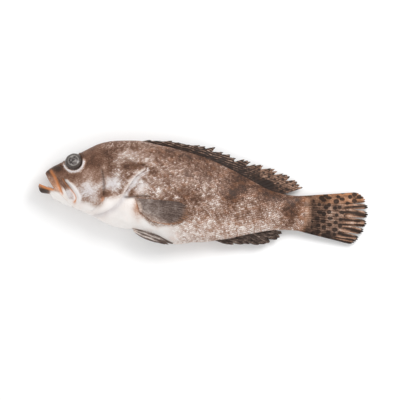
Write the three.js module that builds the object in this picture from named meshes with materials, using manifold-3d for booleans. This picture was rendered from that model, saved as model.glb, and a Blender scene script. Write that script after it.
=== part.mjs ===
// A whole grouper lying on its right side, in millimetres.
// +X runs from the jaws to the tail, +Y from the belly to the back, and +Z up, out of the left flank.
// The fish is drawn inside the box of its body: stations are shares of the body's length from the
// chin tip, heights are shares of its depth from the lowest point of the belly, and half widths are
// shares of the height that the body has as it lies. The whole is centred on its own box at the end.
import * as THREE from "three";
import Module from "manifold-3d";
import { mergeVertices } from "three/addons/utils/BufferGeometryUtils.js";

const BODY_LENGTH = 350; // chin tip to the end of the tail stem
const BODY_DEPTH = 131.3; // lowest point of the belly to the highest of the back
const BODY_HEIGHT = 62; // top of the left flank above the surface that the fish lies on

const EYE_DIAMETER = 24;
const EYE_THICKNESS = 15;
const EYE_SINK = 2; // the eye's middle lies this far under the head's skin
const EYE_TILT = new THREE.Vector3(-0.12, 0.34, 0.93); // the way that the left eye looks

const DORSAL_RAY = 38; // longest ray of each fin, root to tip
const ANAL_RAY = 31;
const TAIL_RAY = 88;
const PECTORAL_RAY = 70;
const PELVIC_RAY = 60;
const FIN_ROOT_THICKNESS = 3;
const FIN_EDGE_THICKNESS = 1;
const FIN_DROOP = 6; // how far the outer edge of the tail and back fins hangs under its root
const FIN_SINK = 3; // how deep a fin's root is drawn into the body before it is cut to fit
const PECTORAL_THICKNESS = 1.4;
const PECTORAL_LIFT = 2.2; // the tip of the pectoral fin stands this far off the flank
const PELVIC_SPREAD = 7; // each pelvic fin from the middle plane

const PLATE_DEPTH = 1.6; // the jaw plates and gill covers are let into the head this far
const MAXILLA_RISE = 1.4; // and stand this far proud of it
const COVER_RISE = 0.9;

const GAP = 0.3; // between any two pieces
const ROOM_OUTSIDE = 3; // the room cut for a plate reaches this far out past it
const CAVITY = new THREE.Vector3(19, 9, 11); // half lengths of the hollow of the mouth
const CAVITY_TILT = THREE.MathUtils.degToRad(-20);
const TONGUE = new THREE.Vector3(11, 2.8, 5);
const TONGUE_SHIFT = new THREE.Vector3(1.5, -4.9, 0); // from the middle of that hollow

const BACK_FULLNESS = 1.75; // exponents of the cross-section: under 2 is a ridge, over 2 is full
const BELLY_FULLNESS = 2.2;
const STATIONS = 40;
const RING = 32;

// Outlines, in percent: station along the body, then height or width.
const BACK = [[0, 47.2], [0.9, 53.7], [2.3, 60.9], [4.2, 66.4], [8.7, 73.7], [13.1, 80.7], [16.3, 86.1],
  [21.4, 93.8], [26, 97.6], [32, 99.5], [36.9, 100], [42.9, 97.8], [51.6, 94.4], [58.2, 90.6], [63.4, 86.8],
  [71.4, 78.8], [76.6, 72.8], [81.4, 66.9], [86.3, 61.5], [90.3, 58.8], [94.3, 57.4], [100, 57.6]];
const BELLY = [[0, 47.2], [0.6, 43], [1.4, 41.1], [4.2, 40.1], [6, 36.4], [10.3, 31.5], [14, 28.5],
  [19.1, 24.1], [23.7, 18.7], [28, 14.2], [32.6, 12.2], [36.6, 11.7], [40.9, 10.8], [45.1, 8.2], [49.4, 3],
  [52.6, 0], [56, 1.2], [58.9, 3], [64, 4.6], [68.6, 7.3], [73.4, 10.1], [78, 13.9], [82.9, 17.4],
  [87.4, 20.3], [92.6, 22.3], [100, 22.5]];
const WIDEST = [[0, 48.7], [5.7, 49.5], [15.7, 51], [22.9, 50.3], [37.1, 48], [52.6, 44.2], [71.4, 43],
  [85.7, 41.1], [100, 40.1]];
const HALF_WIDTH = [[0, 3.2], [0.6, 8.1], [1.4, 13.7], [2.9, 19.4], [5.7, 26.1], [10, 33.2], [15.7, 40.6],
  [22.9, 47.3], [30, 51.6], [37.1, 53.2], [45.7, 52.4], [54.3, 49.2], [62.9, 42.7], [71.4, 34.7],
  [80, 25.8], [87.1, 18.7], [92.9, 13.5], [97.1, 9], [100, 4.5]];
const MIDDLE_PLANE = [[0, 38.7], [5.7, 41.1], [15.7, 44.5], [24.3, 46.5], [37.1, 46.8], [48.6, 46.5],
  [57.1, 44.5], [64.3, 41.3], [71.4, 36.8], [80, 30.6], [88.6, 25.2], [100, 20.2]];

// The open mouth, its hollow, the jaw's edge under the cheek, the eye, the jaw plate and the gill cover.
const UPPER_LIP = [[2.3, 61.2], [3.7, 54.8], [5.1, 50], [6.4, 45.5]];
const LOWER_LIP = [[0.8, 49.2], [3.3, 46.6], [6.4, 45.1]];
const JAW_SEAM = [[6.4, 45.1], [9.4, 40], [11.7, 34.7], [13.7, 29.3], [14.3, 24]];
const MOUTH_CENTRE = [6.3, 48.7];
const EYE_CENTRE = [12.8, 74.3];
const MAXILLA_FRONT = [[6.2, 59.8], [7.5, 54.2], [9.4, 47.9], [10.9, 41.1], [12, 35.8]];
const MAXILLA_REAR = [[8.3, 58.6], [11, 51.3], [12.9, 46.1], [13.9, 40.4], [13.8, 34.7]];
const COVER_FRONT = [[22.9, 72.4], [24.3, 64.7], [24.9, 54.1], [24.9, 44.2], [24.1, 36.6], [22.3, 30.5],
  [20.6, 25.9]];
const COVER_REAR = [[30, 80], [39.7, 73.1], [36.6, 64.7], [34, 53.3], [31.7, 41.9], [28.6, 32], [25.1, 25.9],
  [22.3, 23.2]];

// Rays of each fin from its first to its last: the root, then the run and rise to the tip in percent of
// the fin's longest ray. Roots on the back and belly need only a station, the others have a height too.
const DORSAL_RAYS = [[36, 20, 8], [37.6, 56, 18], [41.4, 72, 23], [45.7, 80, 27], [50, 84, 30], [54.3, 82, 31],
  [58.6, 82, 30], [63, 78, 30], [67.4, 74, 31], [71, 78, 36], [74.6, 86, 41], [78.6, 94, 48], [82.6, 96, 50],
  [86.6, 94, 45], [90, 84, 28]];
const ANAL_RAYS = [[66, 48, -16], [68.6, 71, -26], [72, 84, -27], [75.7, 94, -38], [79.4, 97, -39],
  [82.9, 94, -28], [85.7, 77, -16], [87.4, 52, -7]];
const TAIL_RAYS = [[98, 57.5, 81, 12], [98, 54, 94, 8.5], [98, 48.7, 100, 4.5], [98, 41.9, 100.5, 1],
  [98, 35.8, 99, -3.4], [98, 29.7, 95, -5.7], [98, 25.1, 88, -10.2], [98, 22.8, 78, -13.6]];
const PECTORAL_RAYS = [[36, 43, 80, 0], [36.4, 40.5, 94, -2.4], [36.8, 38, 99.4, -10], [37.2, 36, 92, -18],
  [37.7, 34, 79, -24], [38.1, 32, 54, -24], [38.5, 30.5, 22, -16.5]];
const PELVIC_RAYS = [[35.6, 14, 81, -18], [36, 13, 95, -25], [36.5, 12, 88, -28], [36.9, 10.8, 68, -25.5],
  [36.9, 9.8, 34, -18]];

const skin = new THREE.MeshStandardMaterial({ color: 0x8f7568, roughness: 0.45, metalness: 0 });
const palePlate = new THREE.MeshStandardMaterial({ color: 0xb9aaa2, roughness: 0.4, metalness: 0 });
const finSkin = new THREE.MeshStandardMaterial({ color: 0x5f4c42, roughness: 0.55, metalness: 0 });
const eyeball = new THREE.MeshStandardMaterial({ color: 0x55493f, roughness: 0.08, metalness: 0 });
const tongueFlesh = new THREE.MeshStandardMaterial({ color: 0xc98a6a, roughness: 0.35, metalness: 0 });

const wasm = await Module();
wasm.setup();

// A closed geometry as a solid whose faces point out.
function solid(geometry) {
  const plain = geometry.clone();
  plain.deleteAttribute("normal");
  plain.deleteAttribute("uv");
  const merged = mergeVertices(plain);
  const vertProperties = merged.attributes.position.array;
  const made = new wasm.Manifold(
    new wasm.Mesh({ numProp: 3, vertProperties, triVerts: new Uint32Array(merged.index.array) }),
  );
  return made.volume() < 0 ? solid(turned(merged)) : made;
}

function turned(geometry) {
  const index = Array.from(geometry.index.array);
  for (let i = 0; i < index.length; i += 3) [index[i + 1], index[i + 2]] = [index[i + 2], index[i + 1]];
  geometry.setIndex(index);
  return geometry;
}

// The largest single body of a solid, as a named mesh.
function piece(name, made, material) {
  const bodies = made.decompose().sort((a, b) => b.volume() - a.volume());
  const data = bodies[0].getMesh();
  const geometry = new THREE.BufferGeometry();
  geometry.setAttribute("position", new THREE.BufferAttribute(new Float32Array(data.vertProperties), 3));
  geometry.setIndex(new THREE.BufferAttribute(new Uint32Array(data.triVerts), 1));
  geometry.computeVertexNormals();
  const mesh = new THREE.Mesh(geometry, material);
  mesh.name = name;
  return mesh;
}

// Smooth values over a table whose first column is where and whose others are what, all in percent.
function smooth(table) {
  const where = table.map((row) => row[0] / 100);
  const what = table.flatMap((row) => row.slice(1).map((v) => v / 100));
  const curve = new THREE.CubicInterpolant(where, what, table[0].length - 1);
  return (share) => curve.evaluate(THREE.MathUtils.clamp(share, where[0], where[where.length - 1]));
}

const back = smooth(BACK);
const belly = smooth(BELLY);
const widest = smooth(WIDEST);
const halfWidth = smooth(HALF_WIDTH);
const middlePlane = smooth(MIDDLE_PLANE);

// The body's cross-section at a station, in millimetres.
function section(x) {
  const share = x / BODY_LENGTH;
  return {
    top: back(share)[0] * BODY_DEPTH,
    bottom: belly(share)[0] * BODY_DEPTH,
    wide: widest(share)[0] * BODY_DEPTH,
    half: halfWidth(share)[0] * BODY_HEIGHT,
    middle: middlePlane(share)[0] * BODY_HEIGHT,
  };
}

// A point of the side view from its shares of the body's box, and from percent.
const inPlaneOf = ([station, height]) => new THREE.Vector2(station * BODY_LENGTH, height * BODY_DEPTH);
const inPlane = (percent) => inPlaneOf(percent).divideScalar(100);

// The hull of the whole body with the mouth shut, grown by an offset. Its right side is pressed flat
// where it meets the surface under it.
function hull(offset) {
  const corners = [];
  const faces = [];
  for (let i = 1; i <= STATIONS; i++) {
    const x = BODY_LENGTH * Math.pow(i / STATIONS, 1.35);
    const { top, bottom, wide, half, middle } = section(x);
    for (let j = 0; j < RING; j++) {
      const turn = (2 * Math.PI * j) / RING;
      const up = Math.cos(turn);
      const fullness = up > 0 ? BACK_FULLNESS : BELLY_FULLNESS;
      const reach = (up > 0 ? top - wide : wide - bottom) + offset;
      const y = wide + Math.sign(up) * Math.pow(Math.abs(up), 2 / fullness) * reach;
      const z = middle + Math.sin(turn) * (half + offset);
      corners.push(i === STATIONS ? x + offset : x, y, Math.max(z, 0));
    }
  }
  const ends = corners.length / 3;
  const chin = section(0);
  const stem = section(BODY_LENGTH);
  corners.push(-offset, chin.top, chin.middle);
  corners.push(BODY_LENGTH + offset, stem.wide, stem.middle);
  for (let j = 0; j < RING; j++) {
    const next = (j + 1) % RING;
    const last = (STATIONS - 1) * RING;
    faces.push(ends, next, j, ends + 1, last + j, last + next);
    for (let i = 0; i < STATIONS - 1; i++) {
      const a = i * RING;
      faces.push(a + j, a + next, a + RING + next, a + j, a + RING + next, a + RING + j);
    }
  }
  const geometry = new THREE.BufferGeometry();
  geometry.setAttribute("position", new THREE.Float32BufferAttribute(corners, 3));
  geometry.setIndex(faces);
  return solid(geometry);
}

// A closed sheet in a grid of squares. place(s, t, face) gives a corner, with face 0 and 1 for its two sides.
function sheet(alongSteps, acrossSteps, place) {
  const corners = [];
  const faces = [];
  const at = (i, j, face) => (face * (alongSteps + 1) + i) * (acrossSteps + 1) + j;
  const quad = (a, b, c, d) => faces.push(a, b, c, a, c, d);
  for (const face of [0, 1])
    for (let i = 0; i <= alongSteps; i++)
      for (let j = 0; j <= acrossSteps; j++)
        corners.push(...place(i / alongSteps, j / acrossSteps, face));
  for (let i = 0; i < alongSteps; i++)
    for (let j = 0; j < acrossSteps; j++) {
      quad(at(i, j, 0), at(i + 1, j, 0), at(i + 1, j + 1, 0), at(i, j + 1, 0));
      quad(at(i, j, 1), at(i, j + 1, 1), at(i + 1, j + 1, 1), at(i + 1, j, 1));
    }
  for (let i = 0; i < alongSteps; i++) {
    quad(at(i, 0, 0), at(i, 0, 1), at(i + 1, 0, 1), at(i + 1, 0, 0));
    quad(at(i, acrossSteps, 1), at(i, acrossSteps, 0), at(i + 1, acrossSteps, 0), at(i + 1, acrossSteps, 1));
  }
  for (let j = 0; j < acrossSteps; j++) {
    quad(at(0, j, 0), at(0, j + 1, 0), at(0, j + 1, 1), at(0, j, 1));
    quad(at(alongSteps, j, 0), at(alongSteps, j, 1), at(alongSteps, j + 1, 1), at(alongSteps, j + 1, 0));
  }
  const geometry = new THREE.BufferGeometry();
  geometry.setAttribute("position", new THREE.Float32BufferAttribute(corners, 3));
  geometry.setIndex(faces);
  return solid(geometry);
}

// The height of a flank over a point of the side view: side 1 is the left flank, -1 the right, which is
// followed as if it weren't pressed flat.
function flankHeight(x, y, side) {
  const { top, bottom, wide, half, middle } = section(x);
  const reach = y > wide ? top - wide : wide - bottom;
  const fullness = y > wide ? BACK_FULLNESS : BELLY_FULLNESS;
  const share = Math.min(Math.abs(y - wide) / reach, 0.985);
  return middle + side * half * Math.sqrt(1 - Math.pow(share, fullness));
}

// The point at a distance off a flank, square to it, or where that line comes down to the lowest height.
function offFlank(x, y, side, distance, lowest = -Infinity) {
  const step = 0.5;
  const slopeX = (flankHeight(x + step, y, side) - flankHeight(x - step, y, side)) / (2 * step);
  const slopeY = (flankHeight(x, y + step, side) - flankHeight(x, y - step, side)) / (2 * step);
  const normal = new THREE.Vector3(-slopeX, -slopeY, 1).normalize().multiplyScalar(side);
  const point = new THREE.Vector3(x, y, flankHeight(x, y, side)).addScaledVector(normal, distance);
  return point.z < lowest ? point.addScaledVector(normal, (lowest - point.z) / normal.z) : point;
}

// A plate that follows a flank between a front and a rear edge, from the inner to the outer distance off
// it. Grown by a gap it is the room that the plate needs. It never reaches under the surface below.
function flankPlate({ front, rear, inner, outer, side, grow = 0, along = 18, across = 5 }) {
  const frontEdge = new THREE.SplineCurve(front);
  const rearEdge = new THREE.SplineCurve(rear);
  return sheet(along, across, (s, t, face) => {
    const down = frontEdge.getTangent(s).lerp(rearEdge.getTangent(s), t).normalize();
    const over = new THREE.Vector2(-down.y, down.x);
    const at = frontEdge.getPoint(s).lerp(rearEdge.getPoint(s), t);
    at.addScaledVector(over, grow * (2 * t - 1)).addScaledVector(down, grow * (2 * s - 1));
    const off = (distance, lowest) => offFlank(at.x, at.y, side, distance, side < 0 ? lowest : -Infinity);
    const under = off(outer(t), 0).z + outer(t) - inner(t) + grow;
    if (!face) return off(inner(t) - grow, under);
    return grow > 0 ? off(outer(t) + ROOM_OUTSIDE, -1) : off(outer(t), 0);
  });
}

// Root and tip of a fin's rays in the side view, from its table of rays.
function rays(table, length, rootOf) {
  const spread = smooth(table.map((row, i) => [(100 * i) / (table.length - 1), ...row]));
  return (s) => {
    const row = Array.from(spread(s));
    const [run, rise] = row.slice(-2);
    const root = rootOf(row);
    return { root, tip: root.clone().add(new THREE.Vector2(run * length, rise * length)) };
  };
}

// How much of its length a ray keeps at the fin's torn edge.
const torn = (s, count, depth) => 1 - depth * Math.abs(Math.cos(Math.PI * s * count));

// A fin that stands in the middle plane, or beside it by an offset, and droops towards its outer edge.
function planeFin({ fan, steps, across = 5, tears, beside = 0, droop = FIN_DROOP }) {
  return sheet(steps, across, (s, t, face) => {
    const { root, tip } = fan(s);
    const at = root.lerp(tip, t * torn(s, tears, 0.06));
    const half = THREE.MathUtils.lerp(FIN_ROOT_THICKNESS, FIN_EDGE_THICKNESS, t) / 2;
    const z = section(Math.min(at.x, BODY_LENGTH)).middle + beside - droop * t * t;
    return [at.x, at.y, z + (face ? half : -half)];
  });
}

// A wall of the side view through the whole head.
function through(outline) {
  const shape = new THREE.Shape(outline);
  const wall = new THREE.ExtrudeGeometry(shape, { depth: 2 * BODY_HEIGHT, bevelEnabled: false });
  return solid(wall.translate(0, 0, -BODY_HEIGHT / 2));
}

function ellipsoid(halves, detail) {
  return new THREE.SphereGeometry(1, detail, detail / 2).scale(halves.x, halves.y, halves.z);
}

function mouthPart(halves, shift) {
  const centre = inPlane(MOUTH_CENTRE);
  const made = ellipsoid(halves, 18).translate(shift.x, shift.y, shift.z).rotateZ(CAVITY_TILT);
  return solid(made.translate(centre.x, centre.y, section(centre.x).middle));
}

// The eye, a thick lens that bulges from the head, grown by a gap for its socket.
function eye(side, grow = 0) {
  const centre = inPlane(EYE_CENTRE);
  const gaze = EYE_TILT.clone().normalize();
  gaze.z *= side;
  const place = offFlank(centre.x, centre.y, side, 0).addScaledVector(gaze, -EYE_SINK);
  const lens = new THREE.Vector3(EYE_DIAMETER, EYE_DIAMETER, EYE_THICKNESS);
  const halves = lens.multiplyScalar(0.5).addScalar(grow);
  const turn = new THREE.Quaternion().setFromUnitVectors(new THREE.Vector3(0, 0, 1), gaze);
  return solid(ellipsoid(halves, 22).applyQuaternion(turn).translate(place.x, place.y, place.z));
}

function maxilla(side, grow = 0) {
  return flankPlate({
    front: MAXILLA_FRONT.map(inPlane),
    rear: MAXILLA_REAR.map(inPlane),
    inner: () => -PLATE_DEPTH,
    outer: () => MAXILLA_RISE,
    side, grow, along: 10, across: 3,
  });
}

function gillCover(side, grow = 0) {
  return flankPlate({
    front: COVER_FRONT.map(inPlane),
    rear: COVER_REAR.map(inPlane),
    inner: () => -PLATE_DEPTH,
    outer: () => COVER_RISE,
    side, grow, along: 18, across: 5,
  });
}

function pectoral(side, grow = 0) {
  const fan = rays(PECTORAL_RAYS, PECTORAL_RAY, inPlaneOf);
  const edge = (end) => Array.from({ length: 13 }, (_, i) => fan(i / 12)[end]);
  const lift = (t) => 2 * GAP + (side > 0 ? PECTORAL_LIFT * t * t : 0);
  return flankPlate({
    front: edge("root"),
    rear: edge("tip"),
    inner: lift,
    outer: (t) => lift(t) + PECTORAL_THICKNESS,
    side, grow, along: 14, across: 5,
  });
}

const body = hull(0);
const room = hull(GAP);

// The lower jaw under its lip and seam, grown by a gap where the head is cut for it.
function jawBlock(grow) {
  const upper = [...LOWER_LIP, ...JAW_SEAM.slice(1)].map(inPlane);
  const below = -BODY_DEPTH / 2;
  const outline = upper.map((p) => new THREE.Vector2(p.x + grow, p.y + grow));
  outline.unshift(new THREE.Vector2(-BODY_LENGTH / 10, outline[0].y));
  outline.push(new THREE.Vector2(outline[outline.length - 1].x, below));
  outline.push(new THREE.Vector2(-BODY_LENGTH / 10, below));
  return through(outline);
}

// The open gape in front of both lips.
function gape() {
  const outline = [...LOWER_LIP, ...UPPER_LIP.slice().reverse()].map(inPlane);
  const ahead = -BODY_LENGTH / 10;
  outline.unshift(new THREE.Vector2(ahead, outline[0].y));
  outline.push(new THREE.Vector2(ahead, BODY_DEPTH));
  outline.splice(-1, 0, new THREE.Vector2(outline[outline.length - 2].x, BODY_DEPTH));
  return through(outline);
}

const hollow = mouthPart(CAVITY, new THREE.Vector3());
const sides = { left: 1, right: -1 };

let head = body.subtract(jawBlock(GAP)).subtract(gape()).subtract(hollow);
let jaw = body.intersect(jawBlock(0)).subtract(gape()).subtract(hollow);
for (const side of Object.values(sides)) {
  head = head.subtract(maxilla(side, GAP)).subtract(gillCover(side, GAP)).subtract(eye(side, GAP));
  jaw = jaw.subtract(maxilla(side, GAP));
}
head = head.subtract(pectoral(sides.right, GAP));

const onBack = (row) => new THREE.Vector2(row[0] * BODY_LENGTH, back(row[0])[0] * BODY_DEPTH - FIN_SINK);
const onBelly = (row) => new THREE.Vector2(row[0] * BODY_LENGTH, belly(row[0])[0] * BODY_DEPTH + FIN_SINK);
const dorsal = planeFin({ fan: rays(DORSAL_RAYS, DORSAL_RAY, onBack), steps: 40, across: 2, tears: 20 });
const anal = planeFin({ fan: rays(ANAL_RAYS, ANAL_RAY, onBelly), steps: 20, across: 2, tears: 10, droop: 3 });
const tail = planeFin({ fan: rays(TAIL_RAYS, TAIL_RAY, inPlaneOf), steps: 28, across: 4, tears: 7 });

const fish = new THREE.Group();
fish.add(piece("body", head, skin));
fish.add(piece("lower_jaw", jaw, palePlate));
fish.add(piece("tongue", mouthPart(TONGUE, TONGUE_SHIFT), tongueFlesh));
fish.add(piece("dorsal_fin", dorsal.subtract(room), finSkin));
fish.add(piece("anal_fin", anal.subtract(room), finSkin));
fish.add(piece("tail_fin", tail.subtract(room), finSkin));
for (const [name, side] of Object.entries(sides)) {
  const pelvic = planeFin({
    fan: rays(PELVIC_RAYS, PELVIC_RAY, inPlaneOf),
    steps: 8, across: 4, tears: 4, beside: side * PELVIC_SPREAD, droop: side > 0 ? 0 : FIN_DROOP,
  });
  fish.add(piece(`${name}_eye`, eye(side), eyeball));
  fish.add(piece(`${name}_maxilla`, maxilla(side), palePlate));
  fish.add(piece(`${name}_gill_cover`, gillCover(side), skin));
  fish.add(piece(`${name}_pectoral_fin`, pectoral(side), finSkin));
  fish.add(piece(`${name}_pelvic_fin`, pelvic.subtract(room), finSkin));
}

// The origin is under the middle of the whole fish, on the surface that it lies on.
const box = new THREE.Box3().setFromObject(fish);
const centre = box.getCenter(new THREE.Vector3());
fish.position.set(-centre.x, -centre.y, -box.min.z);
const grouper = new THREE.Group();
grouper.add(fish);

export default grouper;
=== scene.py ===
import math

import bmesh
import bpy
import numpy as np
from bpy.props import FloatProperty, FloatVectorProperty, IntProperty, PointerProperty
from bpy.types import Operator, Panel, PropertyGroup
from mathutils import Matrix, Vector


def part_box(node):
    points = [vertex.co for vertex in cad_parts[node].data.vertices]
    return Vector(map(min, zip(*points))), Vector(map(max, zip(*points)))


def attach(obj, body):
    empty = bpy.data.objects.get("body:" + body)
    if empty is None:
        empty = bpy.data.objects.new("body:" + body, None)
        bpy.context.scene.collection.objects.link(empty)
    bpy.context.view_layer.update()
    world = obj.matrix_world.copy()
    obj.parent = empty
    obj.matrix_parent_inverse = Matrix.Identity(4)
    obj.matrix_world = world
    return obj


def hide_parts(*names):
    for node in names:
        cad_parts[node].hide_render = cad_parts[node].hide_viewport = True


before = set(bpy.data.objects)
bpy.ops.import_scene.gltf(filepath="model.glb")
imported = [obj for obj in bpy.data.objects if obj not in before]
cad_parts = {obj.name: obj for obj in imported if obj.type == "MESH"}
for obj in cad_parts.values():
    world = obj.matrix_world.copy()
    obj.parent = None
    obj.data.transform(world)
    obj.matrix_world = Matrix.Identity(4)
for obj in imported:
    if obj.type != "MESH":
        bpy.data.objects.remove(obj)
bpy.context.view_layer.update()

bl_info = {
    "name": "Whole grouper",
    "version": (1, 0, 0),
    "blender": (4, 5, 0),
    "location": "3D View > Sidebar > Grouper",
    "description": "Builds the skin, fins, eyes and mouth of a whole raw grouper around its packed frame",
    "category": "Object",
}

BODY = "root"
MM = 0.001
FAR = 1000.0
WELD = 0.004
MAP_MARGINS = (0.002, 0.998)

# The fish's own millimetres: x from the chin tip to the end of the tail stem, y from the lowest point of
# the belly to the top of the back, z up from the surface that the fish lies on. FAR is more than any
# distance on the fish, and points that are closer together than WELD are one.
JAW_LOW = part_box("lower_jaw")[0]
BODY_LOW, BODY_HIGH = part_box("body")
CORNER = np.array([JAW_LOW.x, BODY_LOW.y, 0.0])
LENGTH = (BODY_HIGH.x - JAW_LOW.x) / MM
DEPTH = (BODY_HIGH.y - BODY_LOW.y) / MM
HEIGHT = BODY_HIGH.z / MM
# Details are drawn on a side view of this size, and follow the frame if it grows.
DRAWN_LENGTH, DRAWN_DEPTH = 350.0, 131.3
GROWTH = LENGTH / DRAWN_LENGTH

LEFT, RIGHT = 1, -1
SIDES = {"left": LEFT, "right": RIGHT}

# ---------------------------------------------------------------- outlines, in percent as in the CAD

BACK = [(0, 47.2), (0.9, 53.7), (2.3, 60.9), (4.2, 66.4), (8.7, 73.7), (13.1, 80.7), (16.3, 86.1),
        (21.4, 93.8), (26, 97.6), (32, 99.5), (36.9, 100), (42.9, 97.8), (51.6, 94.4), (58.2, 90.6),
        (63.4, 86.8), (71.4, 78.8), (76.6, 72.8), (81.4, 66.9), (86.3, 61.5), (90.3, 58.8), (94.3, 57.4),
        (100, 57.6)]
BELLY = [(0, 47.2), (0.6, 43), (1.4, 41.1), (4.2, 40.1), (6, 36.4), (10.3, 31.5), (14, 28.5), (19.1, 24.1),
         (23.7, 18.7), (28, 14.2), (32.6, 12.2), (36.6, 11.7), (40.9, 10.8), (45.1, 8.2), (49.4, 3),
         (52.6, 0), (56, 1.2), (58.9, 3), (64, 4.6), (68.6, 7.3), (73.4, 10.1), (78, 13.9), (82.9, 17.4),
         (87.4, 20.3), (92.6, 22.3), (100, 22.5)]
WIDEST = [(0, 48.7), (5.7, 49.5), (15.7, 51), (22.9, 50.3), (37.1, 48), (52.6, 44.2), (71.4, 43),
          (85.7, 41.1), (100, 40.1)]
HALF_WIDTH = [(0, 3.2), (0.6, 8.1), (1.4, 13.7), (2.9, 19.4), (5.7, 26.1), (10, 33.2), (15.7, 40.6),
              (22.9, 47.3), (30, 51.6), (37.1, 53.2), (45.7, 52.4), (54.3, 49.2), (62.9, 42.7),
              (71.4, 34.7), (80, 25.8), (87.1, 18.7), (92.9, 13.5), (97.1, 9), (100, 4.5)]
MIDDLE_PLANE = [(0, 38.7), (5.7, 41.1), (15.7, 44.5), (24.3, 46.5), (37.1, 46.8), (48.6, 46.5),
                (57.1, 44.5), (64.3, 41.3), (71.4, 36.8), (80, 30.6), (88.6, 25.2), (100, 20.2)]
BACK_FULLNESS, BELLY_FULLNESS = 1.75, 2.2

UPPER_LIP = [(2.3, 61.2), (3.7, 54.8), (5.1, 50), (6.4, 45.5)]
LOWER_LIP = [(0, 50.6), (0.8, 49.2), (3.3, 46.6), (6.4, 45.1)]
JAW_SEAM = [(6.4, 45.1), (9.4, 40), (11.7, 34.7), (13.7, 29.3), (14.3, 24)]
EYE_CENTRE = (12.8, 74.3)
MAXILLA_FRONT = [(6.2, 59.8), (7.5, 54.2), (9.4, 47.9), (10.9, 41.1), (12, 35.8)]
MAXILLA_REAR = [(8.3, 58.6), (11, 51.3), (12.9, 46.1), (13.9, 40.4), (13.8, 34.7)]
COVER_FRONT = [(22.9, 72.4), (24.3, 64.7), (24.9, 54.1), (24.9, 44.2), (24.1, 36.6), (22.3, 30.5),
               (20.6, 25.9)]
COVER_REAR = [(30, 80), (39.7, 73.1), (36.6, 64.7), (34, 53.3), (31.7, 41.9), (28.6, 32), (25.1, 25.9),
              (22.3, 23.2)]

# Rays of each fin: root station and, off the back and belly, root height, then run and rise of the tip in
# percent of the fin's longest ray.
DORSAL_RAYS = [(36, 20, 8), (37.6, 56, 18), (41.4, 72, 23), (45.7, 80, 27), (50, 84, 30), (54.3, 82, 31),
               (58.6, 82, 30), (63, 78, 30), (67.4, 74, 31), (71, 78, 36), (74.6, 86, 41), (78.6, 94, 48),
               (82.6, 96, 50), (86.6, 94, 45), (90, 84, 28)]
ANAL_RAYS = [(66, 48, -16), (68.6, 71, -26), (72, 84, -27), (75.7, 94, -38), (79.4, 97, -39),
             (82.9, 94, -28), (85.7, 77, -16), (87.4, 52, -7)]
TAIL_RAYS = [(98, 57.5, 81, 12), (98, 54, 94, 8.5), (98, 48.7, 100, 4.5), (98, 41.9, 100.5, 1),
             (98, 35.8, 99, -3.4), (98, 29.7, 95, -5.7), (98, 25.1, 88, -10.2), (98, 22.8, 78, -13.6)]
PECTORAL_RAYS = [(36, 43, 80, 0), (36.4, 40.5, 94, -2.4), (36.8, 38, 99.4, -10), (37.2, 36, 92, -18),
                 (37.7, 34, 79, -24), (38.1, 32, 54, -24), (38.5, 30.5, 22, -16.5)]
PELVIC_RAYS = [(35.6, 14, 81, -18), (36, 13, 95, -25), (36.5, 12, 88, -28), (36.9, 10.8, 68, -25.5),
               (36.9, 9.8, 34, -18)]
DORSAL_RAY, ANAL_RAY, TAIL_RAY, PECTORAL_RAY, PELVIC_RAY = (38, 31, 88, 70, 60)
# How deep the roots of the back and belly fins are sunk, and how far the tips sag, in millimetres.
FIN_SINK = 3.0
FIN_DROOP = 6.0

# ---------------------------------------------------------------- details, drawn in millimetres

LIP_GROOVE = [(13, 86.5), (17, 81), (22, 74.5), (26.5, 66.5), (30.5, 59.5), (34, 51.5)]
MAXILLA_FOLD = [(30.5, 76), (38.5, 67), (45.5, 60), (50, 54.5), (51.8, 49.5), (48.5, 43)]
WHITE_FOLD = [(33.5, 75), (42, 68.5), (49.5, 62.5), (54.5, 56), (56.5, 49), (54, 42)]
CHEEK_GROOVE = [(80.5, 93), (84.5, 82), (86.4, 70), (87.2, 58), (86.8, 51), (84, 45)]
THROAT_FOLD = [(52, 38.5), (66, 36.5), (80, 35.5), (92, 39), (101, 46), (109, 56)]
THROAT_GROOVE = [(58, 33.5), (72, 31.5), (86, 32), (97, 36.5), (106, 44), (113, 53)]
FIN_POCKET = [(112, 56.5), (120, 56.8), (130, 58.5), (140, 59.6), (150, 60)]
LATERAL_LINE = [(104, 106), (125, 111), (155, 110), (190, 102), (225, 91), (262, 77), (300, 64), (348, 56)]
PALE_EDGE = [(0, 52), (14, 54), (19, 62), (28, 61), (40, 66), (52, 58), (58, 48), (68, 43), (84, 46),
             (93, 54), (104, 60), (114, 57.5), (129, 56.5), (137, 38), (148, 28), (162, 24), (180, 26),
             (200, 33), (220, 38), (245, 36), (270, 37), (292, 36), (308, 36), (322, 31), (340, 26),
             (350, 25)]
NOSTRILS = [(27.5, 91.5), (31.0, 90.0)]

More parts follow.
